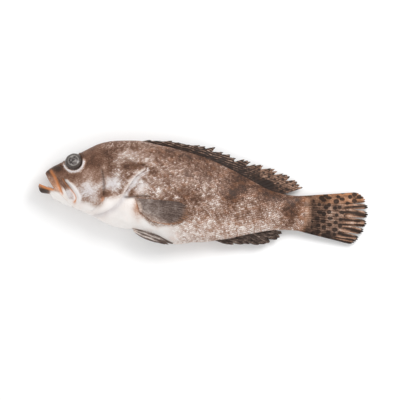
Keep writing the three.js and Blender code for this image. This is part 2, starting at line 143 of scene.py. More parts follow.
# Patches of the skin's colour: where, how long and deep, and how much paler or darker. Most are marks of the
# coat; a few are painted shade, marked below.
PATCHES = [(68, 63, 17, 12, 0.42), (97, 72, 12, 11, 0.38), (137, 70, 12, 12, 0.44), (120, 113, 24, 9, 0.28),
           (142, 105, 8, 5, 0.16), (146, 92, 14, 7, -0.14), (228, 100, 16, 7, -0.12), (206, 82, 9, 7, 0.10),
           (183, 61, 3, 3, 0.40), (218, 72, 3, 13, 0.26), (231, 58, 7, 9, 0.30), (197, 55, 4, 6, 0.16),
           (281, 74, 6, 6, 0.20), (310, 50, 9, 7, 0.22), (300, 58, 10, 8, 0.08), (160, 66, 7, 8, 0.28),
           (160, 94, 14, 8, 0.10), (184, 84, 8, 7, 0.14), (105, 84, 7, 12, 0.16), (64, 88, 12, 6, 0.14),
           (78, 112, 30, 13, -0.09), (96, 110, 12, 8, -0.14), (72, 98, 18, 8, -0.18),
           (118, 97, 15, 5, -0.32), (133, 98, 9, 5, -0.50), (60, 51, 8, 5, 0.10), (76, 45, 9, 5, 0.14),
           (105, 98, 5, 4, 0.12), (232, 98, 10, 5, 0.10), (270, 74, 6, 6, -0.18), (303, 74, 13, 6, -0.20),
           (270, 90, 8, 6, -0.18), (212, 114, 12, 5, -0.14), (285, 46, 8, 7, 0.12), (315, 42, 8, 5, 0.12),
           # The first two patches on the next line are painted shade along the rear edge of the belly.
           (248, 21, 18, 7, -0.13), (238, 10, 9, 5, -0.16), (90, 107, 7, 7, -0.14),
           (126, 119, 10, 7, -0.16), (60, 91, 8, 5, -0.10), (347, 50, 5, 20, 0.14),
           (121, 63, 5.5, 6.5, -0.46), (198, 62, 18, 10, -0.22), (254, 70, 10, 13, -0.46),
           (261, 92, 12, 10, -0.38), (212, 78, 4, 7, -0.10), (292, 54, 10, 9, -0.14),
           (333, 56, 11, 13, -0.42), (343, 70, 8, 8, -0.26), (70, 48.5, 8, 4, -0.07), (76, 52, 9, 5, 0.06),
           (24, 87, 9, 5, -0.46), (92, 52, 7, 5, 0.20), (97, 57, 10, 6, -0.42), (117, 46, 12, 9, -0.14),
           (65, 81, 8, 6, 0.13), (200, 102, 12, 6, -0.08), (76, 50, 8, 4, 0.14), (112, 110, 12, 5, 0.12),
           (241, 104, 10, 5, 0.14), (85, 95, 4, 9, 0.24), (100, 102, 8, 4, 0.16), (112, 122, 16, 6, -0.14),
           # The long thin patches at (200, 115), (240, 103), (286, 82), (312, 72) and (165, 120) are a painted
           # shadow along the base of the back fin.
           (46, 80, 14, 6, -0.12), (96, 92, 12, 7, -0.10), (200, 115, 48, 8, -0.20),
           (240, 103, 24, 8, -0.14), (286, 82, 22, 7, -0.30), (312, 72, 22, 7, -0.26),
           (165, 120, 24, 6, -0.16), (215, 93, 18, 8, -0.14), (86, 59, 5, 5, -0.12), (266, 54, 5, 8, 0.12),
           (246, 62, 4, 10, 0.10)]


def smooth(table):
    """A curve through the rows of a table: the first column says where, the others what."""
    rows = np.array(table, float)
    where, what = rows[:, 0], rows[:, 1:]
    slopes = np.diff(what, axis=0) / np.diff(where)[:, None]
    inner = (what[2:] - what[:-2]) / (where[2:] - where[:-2])[:, None]
    tangents = np.vstack([1.5 * slopes[:1] - 0.5 * inner[:1], inner, 1.5 * slopes[-1:] - 0.5 * inner[-1:]])

    def curve(at):
        at = np.clip(np.asarray(at, float), where[0], where[-1])
        i = np.clip(np.searchsorted(where, at, "right") - 1, 0, len(where) - 2)
        h = where[i + 1] - where[i]
        u = ((at - where[i]) / h)[..., None]
        h = h[..., None]
        return ((1 + 2 * u) * (1 - u) ** 2 * what[i] + u * (1 - u) ** 2 * h * tangents[i]
                + u * u * (3 - 2 * u) * what[i + 1] + u * u * (u - 1) * h * tangents[i + 1])
    return curve


def ease(low, high, value):
    """0 below low, 1 above high, and smooth between them."""
    t = np.clip((np.asarray(value, float) - low) / (high - low), 0, 1)
    return t * t * (3 - 2 * t)


def hump(distance, width):
    """1 at no distance, and fading out over a width."""
    return np.exp(-(distance / width) ** 2)


def blend(a, b, share):
    return a + (b - a) * share


def along_points(points, count):
    """Points along a smooth line, evenly spaced."""
    points = np.array(points, float)
    lengths = np.concatenate([[0], np.cumsum(np.hypot(*np.diff(points, axis=0).T))])
    line = smooth(np.column_stack([lengths / lengths[-1], points]))
    return line(np.linspace(0, 1, count))


def percent(points):
    return np.array(points, float) * (LENGTH, DEPTH) / 100


def drawn(points):
    return np.array(points, float) * (GROWTH, DEPTH / DRAWN_DEPTH)


def away_from(point, x, y):
    return np.hypot(x - point[0], y - point[1])


def oval(x, y, at, long, deep):
    """1 at a point of the drawing, and fading out over a length and a depth."""
    cx, cy = drawn(at)
    return np.exp(-((x - cx) / long) ** 2 - ((y - cy) / deep) ** 2)


class Line:
    """A smooth line of the side view. off() is the distance to it, and beyond() the same with a sign, which
    is above zero on the left of its direction."""

    def __init__(self, points, count=48):
        self.points = along_points(points, count)

    def nearest(self, x, y, reach=FAR):
        """Distance, side and share along the line of its nearest point, for points within reach of it."""
        start, step = self.points[:-1], np.diff(self.points, axis=0)
        px, py = np.ravel(x), np.ravel(y)
        away, side, share = np.full(px.size, FAR), np.ones(px.size), np.zeros(px.size)
        low, high = self.points.min(0) - reach, self.points.max(0) + reach
        near = np.flatnonzero((px > low[0]) & (px < high[0]) & (py > low[1]) & (py < high[1]))
        qx, qy = px[near], py[near]
        best, turned, part = away[near], side[near], share[near]
        for i, (a, d) in enumerate(zip(start, step)):
            t = np.clip(((qx - a[0]) * d[0] + (qy - a[1]) * d[1]) / (d @ d), 0, 1)
            gap = np.hypot(qx - a[0] - t * d[0], qy - a[1] - t * d[1])
            closer = gap < best
            best = np.where(closer, gap, best)
            turned = np.where(closer, np.sign(d[0] * (qy - a[1]) - d[1] * (qx - a[0])), turned)
            part = np.where(closer, (i + t) / len(start), part)
        away[near], side[near], share[near] = best, turned, part
        return tuple(value.reshape(np.shape(x)) for value in (away, side, share))

    def off(self, x, y):
        return self.nearest(x, y, 16)[0]

    def beyond(self, x, y):
        away, side, _ = self.nearest(x, y)
        return away * side

    def fading(self, x, y, width):
        """A hump along the line that thins out towards both of its ends."""
        away, _, share = self.nearest(x, y, 4 * width)
        return hump(away, width) * ease(0, 0.12, share) * ease(0, 0.12, 1 - share)


def inside(outline, x, y):
    """1 inside a closed outline, 0 outside."""
    hit = np.zeros(np.shape(x), bool)
    for (ax, ay), (bx, by) in zip(outline, np.roll(outline, -1, axis=0)):
        crosses = (ay > y) != (by > y)
        hit ^= crosses & (x < (bx - ax) * (y - ay) / (by - ay + 1e-12) + ax)
    return hit.astype(float)


back, belly, widest = smooth(BACK), smooth(BELLY), smooth(WIDEST)
half_width, middle_plane = smooth(HALF_WIDTH), smooth(MIDDLE_PLANE)


def section(x):
    """Top, bottom, widest height, half width and middle plane of the body at a station."""
    share = 100 * np.asarray(x, float) / LENGTH
    top, bottom, wide = (f(share)[..., 0] * DEPTH / 100 for f in (back, belly, widest))
    half, middle = (f(share)[..., 0] * HEIGHT / 100 for f in (half_width, middle_plane))
    return top, bottom, wide, half, middle


def middle_at(x):
    return section(np.clip(x, 0, LENGTH))[4]


def flank(x, y, side):
    """Height of a flank, before it is pressed flat."""
    top, bottom, wide, half, middle = section(x)
    reach = np.where(y > wide, top - wide, wide - bottom)
    fullness = np.where(y > wide, BACK_FULLNESS, BELLY_FULLNESS)
    share = np.clip(np.abs(y - wide) / np.maximum(reach, 0.01), 0, 0.985)
    return middle + side * half * np.sqrt(1 - share ** fullness)


def flank_normal(x, y, side):
    step = 0.5
    slope_x = (flank(x + step, y, side) - flank(x - step, y, side)) / (2 * step)
    slope_y = (flank(x, y + step, side) - flank(x, y - step, side)) / (2 * step)
    normal = np.stack([-slope_x, -slope_y, np.ones(np.shape(x))], -1) * side
    return normal / np.linalg.norm(normal, axis=-1, keepdims=True)


def press(z, floor=0.05, soft=1.2):
    """Keeps a height above the surface below, with a soft turn into the flat."""
    over = z - floor
    return floor + (over + np.sqrt(over * over + soft * soft)) / 2


def fan_of(table, length, root_of):
    """Root and tip of a fin's ray at each share of the fin."""
    rows = [(i / (len(table) - 1), *row) for i, row in enumerate(table)]
    spread = smooth(rows)

    def fan(s):
        row = spread(s)
        root = root_of(row)
        return root, root + row[..., -2:] * length * GROWTH / 100
    return fan


def on_plane(row):
    return row[..., :2] * (LENGTH, DEPTH) / 100


def on_edge(edge, sink):
    """Roots that stand on the back or the belly, and are sunk into the body."""
    def root_of(row):
        station = row[..., 0]
        return np.stack([station * LENGTH / 100, edge(station)[..., 0] * DEPTH / 100 + sink], -1)
    return root_of


def outline(first, last):
    """The closed outline between two lines of the side view."""
    return np.vstack([first, last[::-1]])


PECTORAL_FAN = fan_of(PECTORAL_RAYS, PECTORAL_RAY, on_plane)
PECTORAL_OUTLINE = outline(*PECTORAL_FAN(np.linspace(0, 1, 40)))
COVER_OUTLINE = outline(*(along_points(percent(edge), 40) for edge in (COVER_FRONT, COVER_REAR)))

lip_groove, maxilla_fold, white_fold, cheek_groove, throat_fold, throat_groove, fin_pocket = (
    Line(drawn(points)) for points in (LIP_GROOVE, MAXILLA_FOLD, WHITE_FOLD, CHEEK_GROOVE, THROAT_FOLD,
                                       THROAT_GROOVE, FIN_POCKET))
lateral_line, cover_margin = Line(drawn(LATERAL_LINE), 80), Line(percent(COVER_REAR), 80)
upper_lip_line, lower_lip_line, seam_line = (Line(percent(edge)) for edge in (UPPER_LIP, LOWER_LIP, JAW_SEAM))
upper_edge, lower_edge, seam_edge = (smooth(percent(edge)) for edge in (UPPER_LIP, LOWER_LIP, JAW_SEAM))
pale_edge = smooth(drawn(PALE_EDGE))
eye_at = percent(EYE_CENTRE)
EYE_RADIUS = 12.0
MOUTH_CORNER, SEAM_FOOT = percent(LOWER_LIP[-1])[0], percent(JAW_SEAM[-1])[0]
JAW_END = 0.136 * LENGTH + 1.4
BELLY_STRIP = 2.0


def patches(x, y):
    """How much paler or darker the skin is painted, from its patches: marks of the coat and some painted
    shade.
    """
    return sum(amount * oval(x, y, (px, py), long, deep) for px, py, long, deep, amount in PATCHES)


def ripples(x, y, size, seed):
    """Soft waves with no direction, from -1 to 1."""
    random = np.random.default_rng(seed)
    total = np.zeros(np.shape(x))
    for _ in range(9):
        turn = random.uniform(0, 2 * math.pi)
        rate = random.uniform(0.6, 1.5) * 2 * math.pi / size
        total += np.sin(rate * (x * math.cos(turn) + y * math.sin(turn)) + random.uniform(0, 6.3))
    return total / 4.5


def relief(x, y):
    """How far the skin stands off the plain flank, in millimetres, from its folds and grooves."""
    lip = ease(-1.5, 1.0, -lip_groove.beyond(x, y)) * ease(44, 34, x) * ease(46, 54, y)
    height = 0.9 * lip * hump(upper_lip_line.off(x, y) - 3.0, 4.5) - 1.5 * lip_groove.fading(x, y, 1.1)
    height += 0.9 * white_fold.fading(x, y, 2.2) - 0.9 * maxilla_fold.fading(x, y, 0.9)
    height += 0.5 * cheek_groove.fading(x + 3.0, y, 1.8) - 1.3 * cheek_groove.fading(x, y, 1.0)
    height += 0.9 * throat_fold.fading(x, y, 2.4) - 0.8 * throat_groove.fading(x, y, 1.4)
    height += 1.4 * oval(x, y, (68, 64), 20, 15)
    # The rim of the eye socket stands up, with a crease below it.
    away = away_from(eye_at, x, y)
    height += 1.6 * hump(away - 13.2, 1.7) - 4.5 * ease(12.2, 9.0, away)
    height -= 0.8 * hump(away - 16.6, 1.6) * ease(0, -6, y - eye_at[1])
    for nostril in NOSTRILS:
        pit = away_from(drawn(nostril), x, y)
        height += 0.5 * hump(pit - 1.7, 0.7) - 1.3 * hump(pit, 1.0)
    # The skin is sunk under the gill cover, and swells at the base of the pectoral fin.
    rim = cover_margin.off(x, y)
    height -= 1.5 * inside(COVER_OUTLINE, x, y) * ease(0, 6, rim) + 1.1 * hump(rim, 3.5)
    height += 2.2 * oval(x, y, (119, 45), 17, 13) - 1.2 * fin_pocket.fading(x, y, 1.3)
    height += 0.18 * lateral_line.fading(x, y, 1.1)
    height += 0.28 * ripples(x, y, 34, 5) * ease(95, 130, x) + 0.10 * ripples(x, y, 9, 6) * ease(40, 20, y)
    return height


def clear_below(x, y):
    """How high the body stands off the surface below, to leave room for what lies pressed under it."""
    return 0.05 + 2.0 * inside(PECTORAL_OUTLINE, x, y) + 1.5 * inside(COVER_OUTLINE, x, y)


def coat(x, y):
    """The values that the skin's material reads at a point of the side view."""
    rear = ease(165 * GROWTH, 210 * GROWTH, x)
    soft = 5.5 + 4 * rear + 5 * hump(x - 97, 18)
    under = ease(soft, -soft, y - pale_edge(x)[..., 0] + (2.2 + 2 * rear) * ripples(x, y, 22, 3))
    marks = patches(x, y)
    white = blend(0.36 + marks, 0.97 - 0.31 * rear + 0.45 * marks, under)
    head = ease(96, 80, x + 0.35 * (y - 100)) * ease(0, 1, 2 - x / 80)
    # The upper lip is dark at the snout's tip and tan along its middle.
    lip = ease(0.8, -0.8, lip_groove.beyond(x, y)) * ease(54, 60, y) * ease(40, 34, x)
    white = blend(white, 0.47 - 0.42 * ease(79, 86, y + 0.3 * x) + 0.16 * ease(74, 62, y), lip)
    # A pale ring runs under the eye and a darker brow over it.
    away = away_from(eye_at, x, y)
    below_eye = ease(4, -4, y - eye_at[1] - 0.3 * (x - eye_at[0]))
    ring = hump(away - 13.5, 2.2) * below_eye
    white = blend(white, 0.79, ring) - 0.16 * hump(away - 14.0, 2.6) * (1 - below_eye)
    fold = white_fold.fading(x, y, 2.5) * ease(80, 70, y)
    white = blend(white, 0.94, np.minimum(1.2 * fold, 1))
    # The gill cover ends in a pale flap, and the tip of the lower jaw is dark.
    flap = hump(cover_margin.beyond(x, y) - 2.5, 3.6) * ease(24, 30, y) * ease(101, 94, y)
    white = blend(white, 0.86, 0.85 * flap) - 0.72 * oval(x, y, (7, 58), 10, 5) * ease(20, 14, x)
    cool = oval(x, y, (66, 60), 19, 14) + oval(x, y, (98, 72), 14, 12) + 0.5 * oval(x, y, (134, 74), 10, 12)
    cool += ring + 0.7 * flap
    orange = 0.85 * lip_groove.fading(x - 0.5, y, 1.7) + 0.32 * lip * ease(78, 62, y)
    orange += 0.75 * maxilla_fold.fading(x, y, 0.9) + 0.6 * oval(x, y, (50, 45), 2.5, 3)
    orange += 0.8 * cheek_groove.fading(x, y - 1, 1.6) * ease(57, 50, y)
    orange += 0.62 * hump(lower_lip_line.off(x, y), 1.6) * ease(23, 20, x)
    orange += 0.10 * under * (1 - rear) * (0.5 + 0.5 * ripples(x, y, 15, 9)) * ease(110, 80, x)
    orange += 0.20 * ease(338 * GROWTH, LENGTH, x) * (0.6 + 0.8 * ripples(x, y, 13, 45))
    orange += 0.09 * under * rear + 0.11 * ease(0.0, 1.0, ripples(x, y, 11, 46)) * ease(100, 150, x)
    # The dark line along the pocket over the pectoral fin's base is painted shadow, and so is the dark strip
    # just outside the gill cover's free edge.
    dark = 0.75 * cheek_groove.fading(x - 0.3, y, 2.2) * ease(52, 62, y) + 0.95 * fin_pocket.fading(x, y, 1.4)
    uncovered = 1 - inside(COVER_OUTLINE, x, y)
    dark += 0.35 * hump(cover_margin.off(x, y) - 0.2, 0.9) * uncovered * ease(60, 72, y)
    dark += 0.55 * maxilla_fold.fading(x - 2.0, y - 1.5, 2.2) * ease(60, 68, y) + 0.5 * ease(9.5, 6.0, away)
    dark += 0.8 * sum(hump(away_from(drawn(nostril), x, y), 1.1) for nostril in NOSTRILS)
    scaly = (1 - 0.70 * head) * ease(20, 60, x) * (1 - 0.45 * under * ease(190, 150, x))
    # The fleshy base of the pectoral fin has no scales and darkens to its root.
    lobe, root = oval(x, y, (119, 44), 24, 15), oval(x, y, (133, 44), 6, 13)
    scaly = scaly * (1 - lip) * (1 - hump(away - 12.5, 3.0)) * (1 - fold) * (1 - lobe)
    return {"white": white - 0.34 * root, "orange": orange + 0.25 * root, "dark": dark, "scaly": scaly,
            "cool": cool, "smooth": np.maximum.reduce([head * (1 - 0.7 * cool), under * (1 - rear), ring])}


# ---------------------------------------------------------------- meshes

def to_frame(points):
    return np.asarray(points, float) * MM + CORNER


class Pieces:
    """Grids of points that are welded into one mesh. Each grid fills its own tile of the bake's map."""

    def __init__(self):
        self.points, self.quads, self.maps = [], [], []
        self.values = {}
        self.count = 0

    def add(self, grid, values, tile=(0, 0, 1, 1)):
        rows, columns = grid.shape[:2]
        index = self.count + np.arange(rows * columns).reshape(rows, columns)
        self.quads.append(np.stack([index[:-1, :-1], index[1:, :-1], index[1:, 1:], index[:-1, 1:]], -1))
        u = tile[0] + (tile[2] - tile[0]) * np.linspace(*MAP_MARGINS, rows)[:, None]
        v = tile[1] + (tile[3] - tile[1]) * np.linspace(*MAP_MARGINS, columns)
        self.points.append(grid.reshape(-1, 3))
        self.maps.append(np.stack(np.broadcast_arrays(u, v), -1).reshape(-1, 2))
        for name, value in values.items():
            value = value if np.ndim(value) > 2 else np.broadcast_to(value, (rows, columns))
            self.values.setdefault(name, []).append(np.reshape(value, (rows * columns, -1)))
        self.count += rows * columns

    def mesh(self, name, material):
        points = np.vstack(self.points)
        quads = np.vstack([q.reshape(-1, 4) for q in self.quads])
        maps = np.vstack(self.maps)
        _, first, same = np.unique(np.round(points / WELD).astype(np.int64), axis=0,
                                   return_index=True, return_inverse=True)
        welded = same.ravel()[quads]
        faces, corners = [], []
        for face, source in zip(welded.tolist(), quads.tolist()):
            kept = [i for i in range(4) if face[i] != face[i - 1]]
            if len(kept) > 2 and len({face[i] for i in kept}) == len(kept):
                faces.append([face[i] for i in kept])
                corners.extend(source[i] for i in kept)
        mesh = bpy.data.meshes.new(name)
        mesh.from_pydata(to_frame(points[first]).tolist(), [], faces)
        mesh.uv_layers.new(name="OFBake").data.foreach_set("uv", maps[corners].ravel())
        for key, parts in self.values.items():
            value = np.vstack(parts)[first].astype(np.float32)
            kind = "FLOAT" if value.shape[1] == 1 else "FLOAT_VECTOR"
            mesh.attributes.new(key, kind, "POINT").data.foreach_set(
                "value" if kind == "FLOAT" else "vector", value.ravel())
        mesh.shade_smooth()
        mesh.materials.append(material)
        mesh.update()
        return mesh


def face_out(mesh):
    """Turns a closed mesh whose faces point in."""
    shape = bmesh.new()
    shape.from_mesh(mesh)
    if shape.calc_volume(signed=True) < 0:
        bmesh.ops.reverse_faces(shape, faces=shape.faces)
        shape.to_mesh(mesh)
    shape.free()


def place(name, pieces, material, slot, *nodes):
    """Makes the object of a piece, which rides on the fish and stands for its CAD nodes."""
    mesh = pieces.mesh(name, material)
    face_out(mesh)
    piece = bpy.data.objects.new(name, mesh)
    bpy.context.scene.collection.objects.link(piece)
    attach(piece, BODY)
    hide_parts(*nodes)
    return piece


def grid_normals(grid):
    """Unit normals of a grid whose last column meets its first."""
    inner = grid[:, :-1]
    across = np.roll(inner, -1, 1) - np.roll(inner, 1, 1)
    along = np.gradient(inner, axis=0)
    normal = np.cross(along, across)
    normal /= np.maximum(np.linalg.norm(normal, axis=-1, keepdims=True), 1e-9)
    return np.concatenate([normal, normal[:, :1]], 1)


def even_ring(y, z, count):
    """A line of the cross-section, cut into equal steps."""
    lengths = np.concatenate([[0], np.cumsum(np.hypot(np.diff(y), np.diff(z)))])
    at = np.linspace(0, lengths[-1], count)
    return np.interp(at, lengths, y), np.interp(at, lengths, z), at


def turn_of(height, top, bottom, wide):
    """The angle from the top at which the cross-section has a height."""
    if height >= wide:
        share = min((height - wide) / max(top - wide, 0.01), 1)
        return math.acos(share ** (BACK_FULLNESS / 2))
    share = min((wide - height) / max(wide - bottom, 0.01), 1)
    return math.pi - math.acos(share ** (BELLY_FULLNESS / 2))


def hull_line(x, start, stop, count):
    """The cross-section between two angles from the top: heights of the side view and of the flanks."""
    top, bottom, wide, half, middle = section(x)
    turn = np.linspace(start, stop, count)
    up = np.cos(turn)
    upper = up > 0
    reach = np.where(upper, top - wide, wide - bottom)
    power = np.where(upper, 2 / BACK_FULLNESS, 2 / BELLY_FULLNESS)
    y = wide + np.sign(up) * np.abs(up) ** power * reach
    return y, middle + np.sin(turn) * half


def head_edge(x):
    """Where the side of the head ends below: on the upper lip, the jaw's seam, then near the belly line."""
    if x < MOUTH_CORNER:
        return float(upper_edge(x)[0])
    seam = float(seam_edge(x)[0]) if x < SEAM_FOOT else 0.0
    return max(seam, float(section(x)[1]) + BELLY_STRIP)


# ---------------------------------------------------------------- the body's skin

def shape_values(x, y, girth, side):
    """All the values that the skin's material reads, at points of the side view."""
    values = coat(x, y)
    values["place"] = np.stack([x, girth, np.where(side > 0, 0.0, 400.0)], -1)
    return values


def arch(edge, left, right, rise, roll, count):
    """A vault between the left and right edges of the mouth, which starts with the roll of the lip."""
    w = np.linspace(1, -1, count)
    y = edge + rise * (1 - np.abs(w) ** 2.6) - roll * np.sin(math.pi * np.clip((1 - np.abs(w)) / 0.16, 0, 1))
    return y, (left + right) / 2 + w * (left - right) / 2


def closed_ring(x, out, home):
    """A ring at a station, out along one line of heights and home along another."""
    y, z = (np.concatenate([a, b[1:-1], a[:1]]) for a, b in zip(out, home))
    return np.stack([np.full(y.size, x), y, z], -1)


def body_rings(columns, under_columns):
    """Rings of the body: across from the right edge over the back to the left edge, then back below."""
    start, split = percent(UPPER_LIP[0])[0] + 0.02, 0.37 * LENGTH
    stations = np.concatenate([np.arange(start, split, 0.62), np.arange(split, LENGTH - 0.2, 1.15), [LENGTH]])
    rings, girths = [], []
    for x in stations:
        top, bottom, wide = (float(v) for v in section(x)[:3])
        edge = min(max(head_edge(x), bottom), top)
        turn = turn_of(edge, top, bottom, wide)
        y, z, at = even_ring(*hull_line(x, -turn, turn, 361), columns)
        rise = min(7.5 * float(ease(8, 20, x) * ease(48, 26, x)), 0.55 * (top - edge))
        palate = np.array(arch(edge, z[-1], z[0], rise, 0.9 * float(ease(8.5, 12, x)), under_columns))
        hull = np.array(hull_line(x, turn, 2 * math.pi - turn, under_columns))
        rings.append(closed_ring(x, (y, z), blend(palate, hull, float(ease(42, 51, x)))))
        ridge = at[-1] / 2
        girths.append(np.concatenate([np.abs(at - ridge), ridge + np.linspace(0, 3, under_columns)[1:]]))
    rings, girths = np.array(rings), np.array(girths)
    # The stem's end is rounded off inside the tail fin.
    last, centre = rings[-1], rings[-1].mean(0)
    caps = [centre + (last - centre) * size + (out, 0, 0)
            for size, out in ((0.97, 0.5), (0.86, 1.1), (0.6, 1.6), (0.0, 1.8))]
    nose = np.broadcast_to(rings[0].mean(0) - (0.05, 0, 0), rings[:1].shape)
    return (np.concatenate([nose, rings, caps]),
            np.concatenate([girths[:1], girths, np.repeat(girths[-1:], len(caps), 0)]))


def outward(rings):
    """Normals of the rings that point out of the body."""
    normals = grid_normals(rings)
    return normals * np.sign(np.sum(normals[..., 2] * (rings[..., 2] - middle_at(rings[..., 0]))))


def skin_columns(rings, columns):
    """1 in the columns of the outer skin, and how many columns away the skin's edge is."""
    column = np.arange(rings.shape[1])
    return (column < columns).astype(float), np.minimum(column, np.abs(columns - 1 - column))


def skin_and_lining(rings, values, columns, skin_end, lining_start):
    """The outer columns and the ones inside, each in a strip of the map of its own."""
    pieces = Pieces()
    skin, lining = np.s_[:, :columns], np.s_[:, columns - 1:]
    for part, tile in ((skin, (0, 0, 1, skin_end)), (lining, (0, lining_start, 1, 1))):
        pieces.add(rings[part], {name: value[part] for name, value in values.items()}, tile)
    return pieces


def body_pieces(columns=204, under_columns=15):
    rings, girths = body_rings(columns, under_columns)
    normals, middle = outward(rings), middle_at(rings[..., 0])
    outer, to_edge = skin_columns(rings, columns)
    x, y = rings[..., 0], rings[..., 1]
    height = relief(x, y) * ease(0.04, 0.42, np.abs(normals[..., 2])) * outer
    # Loose folds of the throat and belly run on underneath.
    loose = ease(34, 60, x) * ease(150, 110, x) * ease(0, 8, section(x)[2] - y)
    height += 0.5 * ripples(x, girths, 20, 8) * loose
    height *= ease(0, 3, to_edge + 40.0 * (x > 50))
    rings = rings + normals * height[..., None]
    room = clear_below(rings[..., 0], rings[..., 1]) * ease(14, 8, rings[..., 2])
    rings[..., 2] = press(rings[..., 2], room)
    values = shape_values(x, y, girths, np.where(rings[..., 2] > middle, LEFT, RIGHT))
    values["mouth"] = (1 - outer) * ease(50, 40, x)
    values["white"] = blend(values["white"], 1, values["mouth"])
    return skin_and_lining(rings, values, columns, 0.94, 0.945)


def jaw_rings(columns, inner_columns):
    """Rings of the lower jaw: below from the left edge to the right, then back over the mouth's floor."""
    rings = []
    for x in np.concatenate([[0.01], np.arange(0.25, 3, 0.35), np.arange(3.2, JAW_END, 0.6)]):
        top, bottom, wide = (float(v) for v in section(x)[:3])
        edge = float(lower_edge(x)[0]) if x < MOUTH_CORNER else float(seam_edge(min(x, SEAM_FOOT))[0]) + 1.0
        edge = min(max(edge, bottom + 0.05), top - 0.02 if top > bottom + 0.1 else bottom)
        turn = turn_of(edge, top, bottom, wide)
        y, z, _ = even_ring(*hull_line(x, turn, 2 * math.pi - turn, 241), columns)
        depth = min(8.0 * float(ease(1.5, 12, x)), 0.62 * (edge - bottom)) * float(ease(49, 38, x))
        roll = 0.5 * float(ease(0.5, 4, x) * ease(24, 20, x))
        floor = arch(edge, z[0], z[-1], -depth, -roll, inner_columns)
        rings.append(closed_ring(x, (y, z), [line[::-1] for line in floor]))
    rings = np.array(rings)
    chin, end = (np.broadcast_to(point, rings[:1].shape)
                 for point in (rings[0].mean(0) - (0.01, 0, 0), rings[-1].mean(0) + (0.4, 0, 0)))
    return np.concatenate([chin, rings, end])


def jaw_pieces(columns=96, inner_columns=34):
    """The lower jaw: its skin round the chin, the rolled lip, and the floor of the mouth."""
    rings = jaw_rings(columns, inner_columns)
    normals, middle = outward(rings), middle_at(rings[..., 0])
    outer, to_edge = skin_columns(rings, columns)
    x, y = rings[..., 0], rings[..., 1]
    height = hump(lower_lip_line.off(x, y) - 1.6, 2.2) * ease(24, 18, x) * ease(0.5, 4, x)
    height = height - 0.9 * ease(3.0, 0.0, seam_line.off(x, y)) * ease(20, 25, x)
    height = height - 0.35 * hump(away_from((6, 60), x, y) - 11.5, 1.1) * ease(58, 52, y)
    height = (height + 0.25 * ripples(x, y, 12, 12) * ease(6, 20, x)) * outer
    rings = rings + normals * (height * ease(-0.5, 2.5, to_edge * outer + 2.0))[..., None]
    rings[..., 2] = press(rings[..., 2])
    values = shape_values(x, y, y, np.where(rings[..., 2] > middle, LEFT, RIGHT))
    from_lip = np.abs(y - lower_edge(np.clip(x, 0, MOUTH_CORNER))[..., 0])
    values["mouth"] = (1 - outer) * ease(1.2, 3.5, from_lip)
    values["white"] = blend(values["white"], 1, 1 - outer)
    values["orange"] = values["orange"] * ease(60, 62, y + 0.16 * x)
    return skin_and_lining(rings, values, columns, 0.7, 0.71)


def plate_pieces(front, rear, side, rise, paint, rows, columns, lift_ends=0.18, sink=0.9, plate=1.3):
    """A thin plate of the head that lies on the flank: its front is buried and its rear edge stands free."""
    t = np.linspace(0, 1, columns)
    # The steps are closer together at both edges.
    s = (1 - np.cos(math.pi * np.linspace(0, 1, rows))) / 2
    fine = np.linspace(0, 1, 200)
    first, last = (np.stack([np.interp(t, fine, way) for way in along_points(percent(edge), fine.size).T], -1)
                   for edge in (front, rear))
    flat = blend(first[None], last[None], s[:, None, None])
    x, y = flat[..., 0], flat[..., 1]
    lifted = ease(0, 0.3, s)[:, None] * ease(0, lift_ends, t) * ease(0, lift_ends, 1 - t)
    rim = np.clip((1 - s) / 0.06, 0, 1)[:, None]
    round_rim = np.sqrt(1 - (1 - rim) ** 2)
    outer = -sink * (1 - lifted) + rise * lifted * (0.45 + 0.55 * round_rim)
    outer += 0.22 * ripples(x, y, 13, 21) * lifted
    edges = np.minimum(np.minimum(round_rim, ease(0, 0.04, s)[:, None]),
                       ease(0, 0.03, t) * ease(0, 0.03, 1 - t))
    normal = flank_normal(x, y, side)
    surface = np.stack([x, y, flank(x, y, side)], -1)
    top = surface + normal * outer[..., None]
    low = surface + normal * (outer - plate * edges)[..., None]
    if side == RIGHT:
        # The plate of the pressed side keeps its thickness on the surface below.
        top[..., 2] = press(top[..., 2], 0.08, 0.5)
        low[..., 2] = press(low[..., 2], 0.08 + 1.15 * edges, 0.5)
    values = shape_values(x, y, section(x)[0] - y, np.full(x.shape, side))
    values["mouth"] = 0.0
    values.update(paint(values, x, y, s[:, None]))
    pieces = Pieces()
    pieces.add(top, values, (0, 0, 0.495, 1))
    pieces.add(low, values, (0.505, 0, 1, 1))
    return pieces


def cover_paint(values, x, y, s):
    """The free edge of a gill cover is pale and has no scales."""
    pale = 0.8 * ease(0.70, 0.96, s) * ease(106, 90, y)
    return {"white": blend(values["white"], 0.80 + 0.14 * ease(60, 45, y), pale),
            "scaly": values["scaly"] * (1 - pale)}


def maxilla_paint(values, x, y, s):
    """An upper jaw plate is brown above and pale below."""
    lower = ease(65, 57, y - 0.5 * (x - 38))
    return {"white": blend(0.36, 0.80, lower) - 0.10 * oval(x, y, (46, 54), 3, 8), "cool": 0.9 * lower,
            "orange": 0.6 * values["orange"], "dark": 0.3 * (1 - lower), "scaly": 0.0}


# ---------------------------------------------------------------- eye and tongue

def fish_box(node):
    """The box of a CAD node in the fish's millimetres."""
    return [(np.array(corner) - CORNER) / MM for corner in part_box(node)]


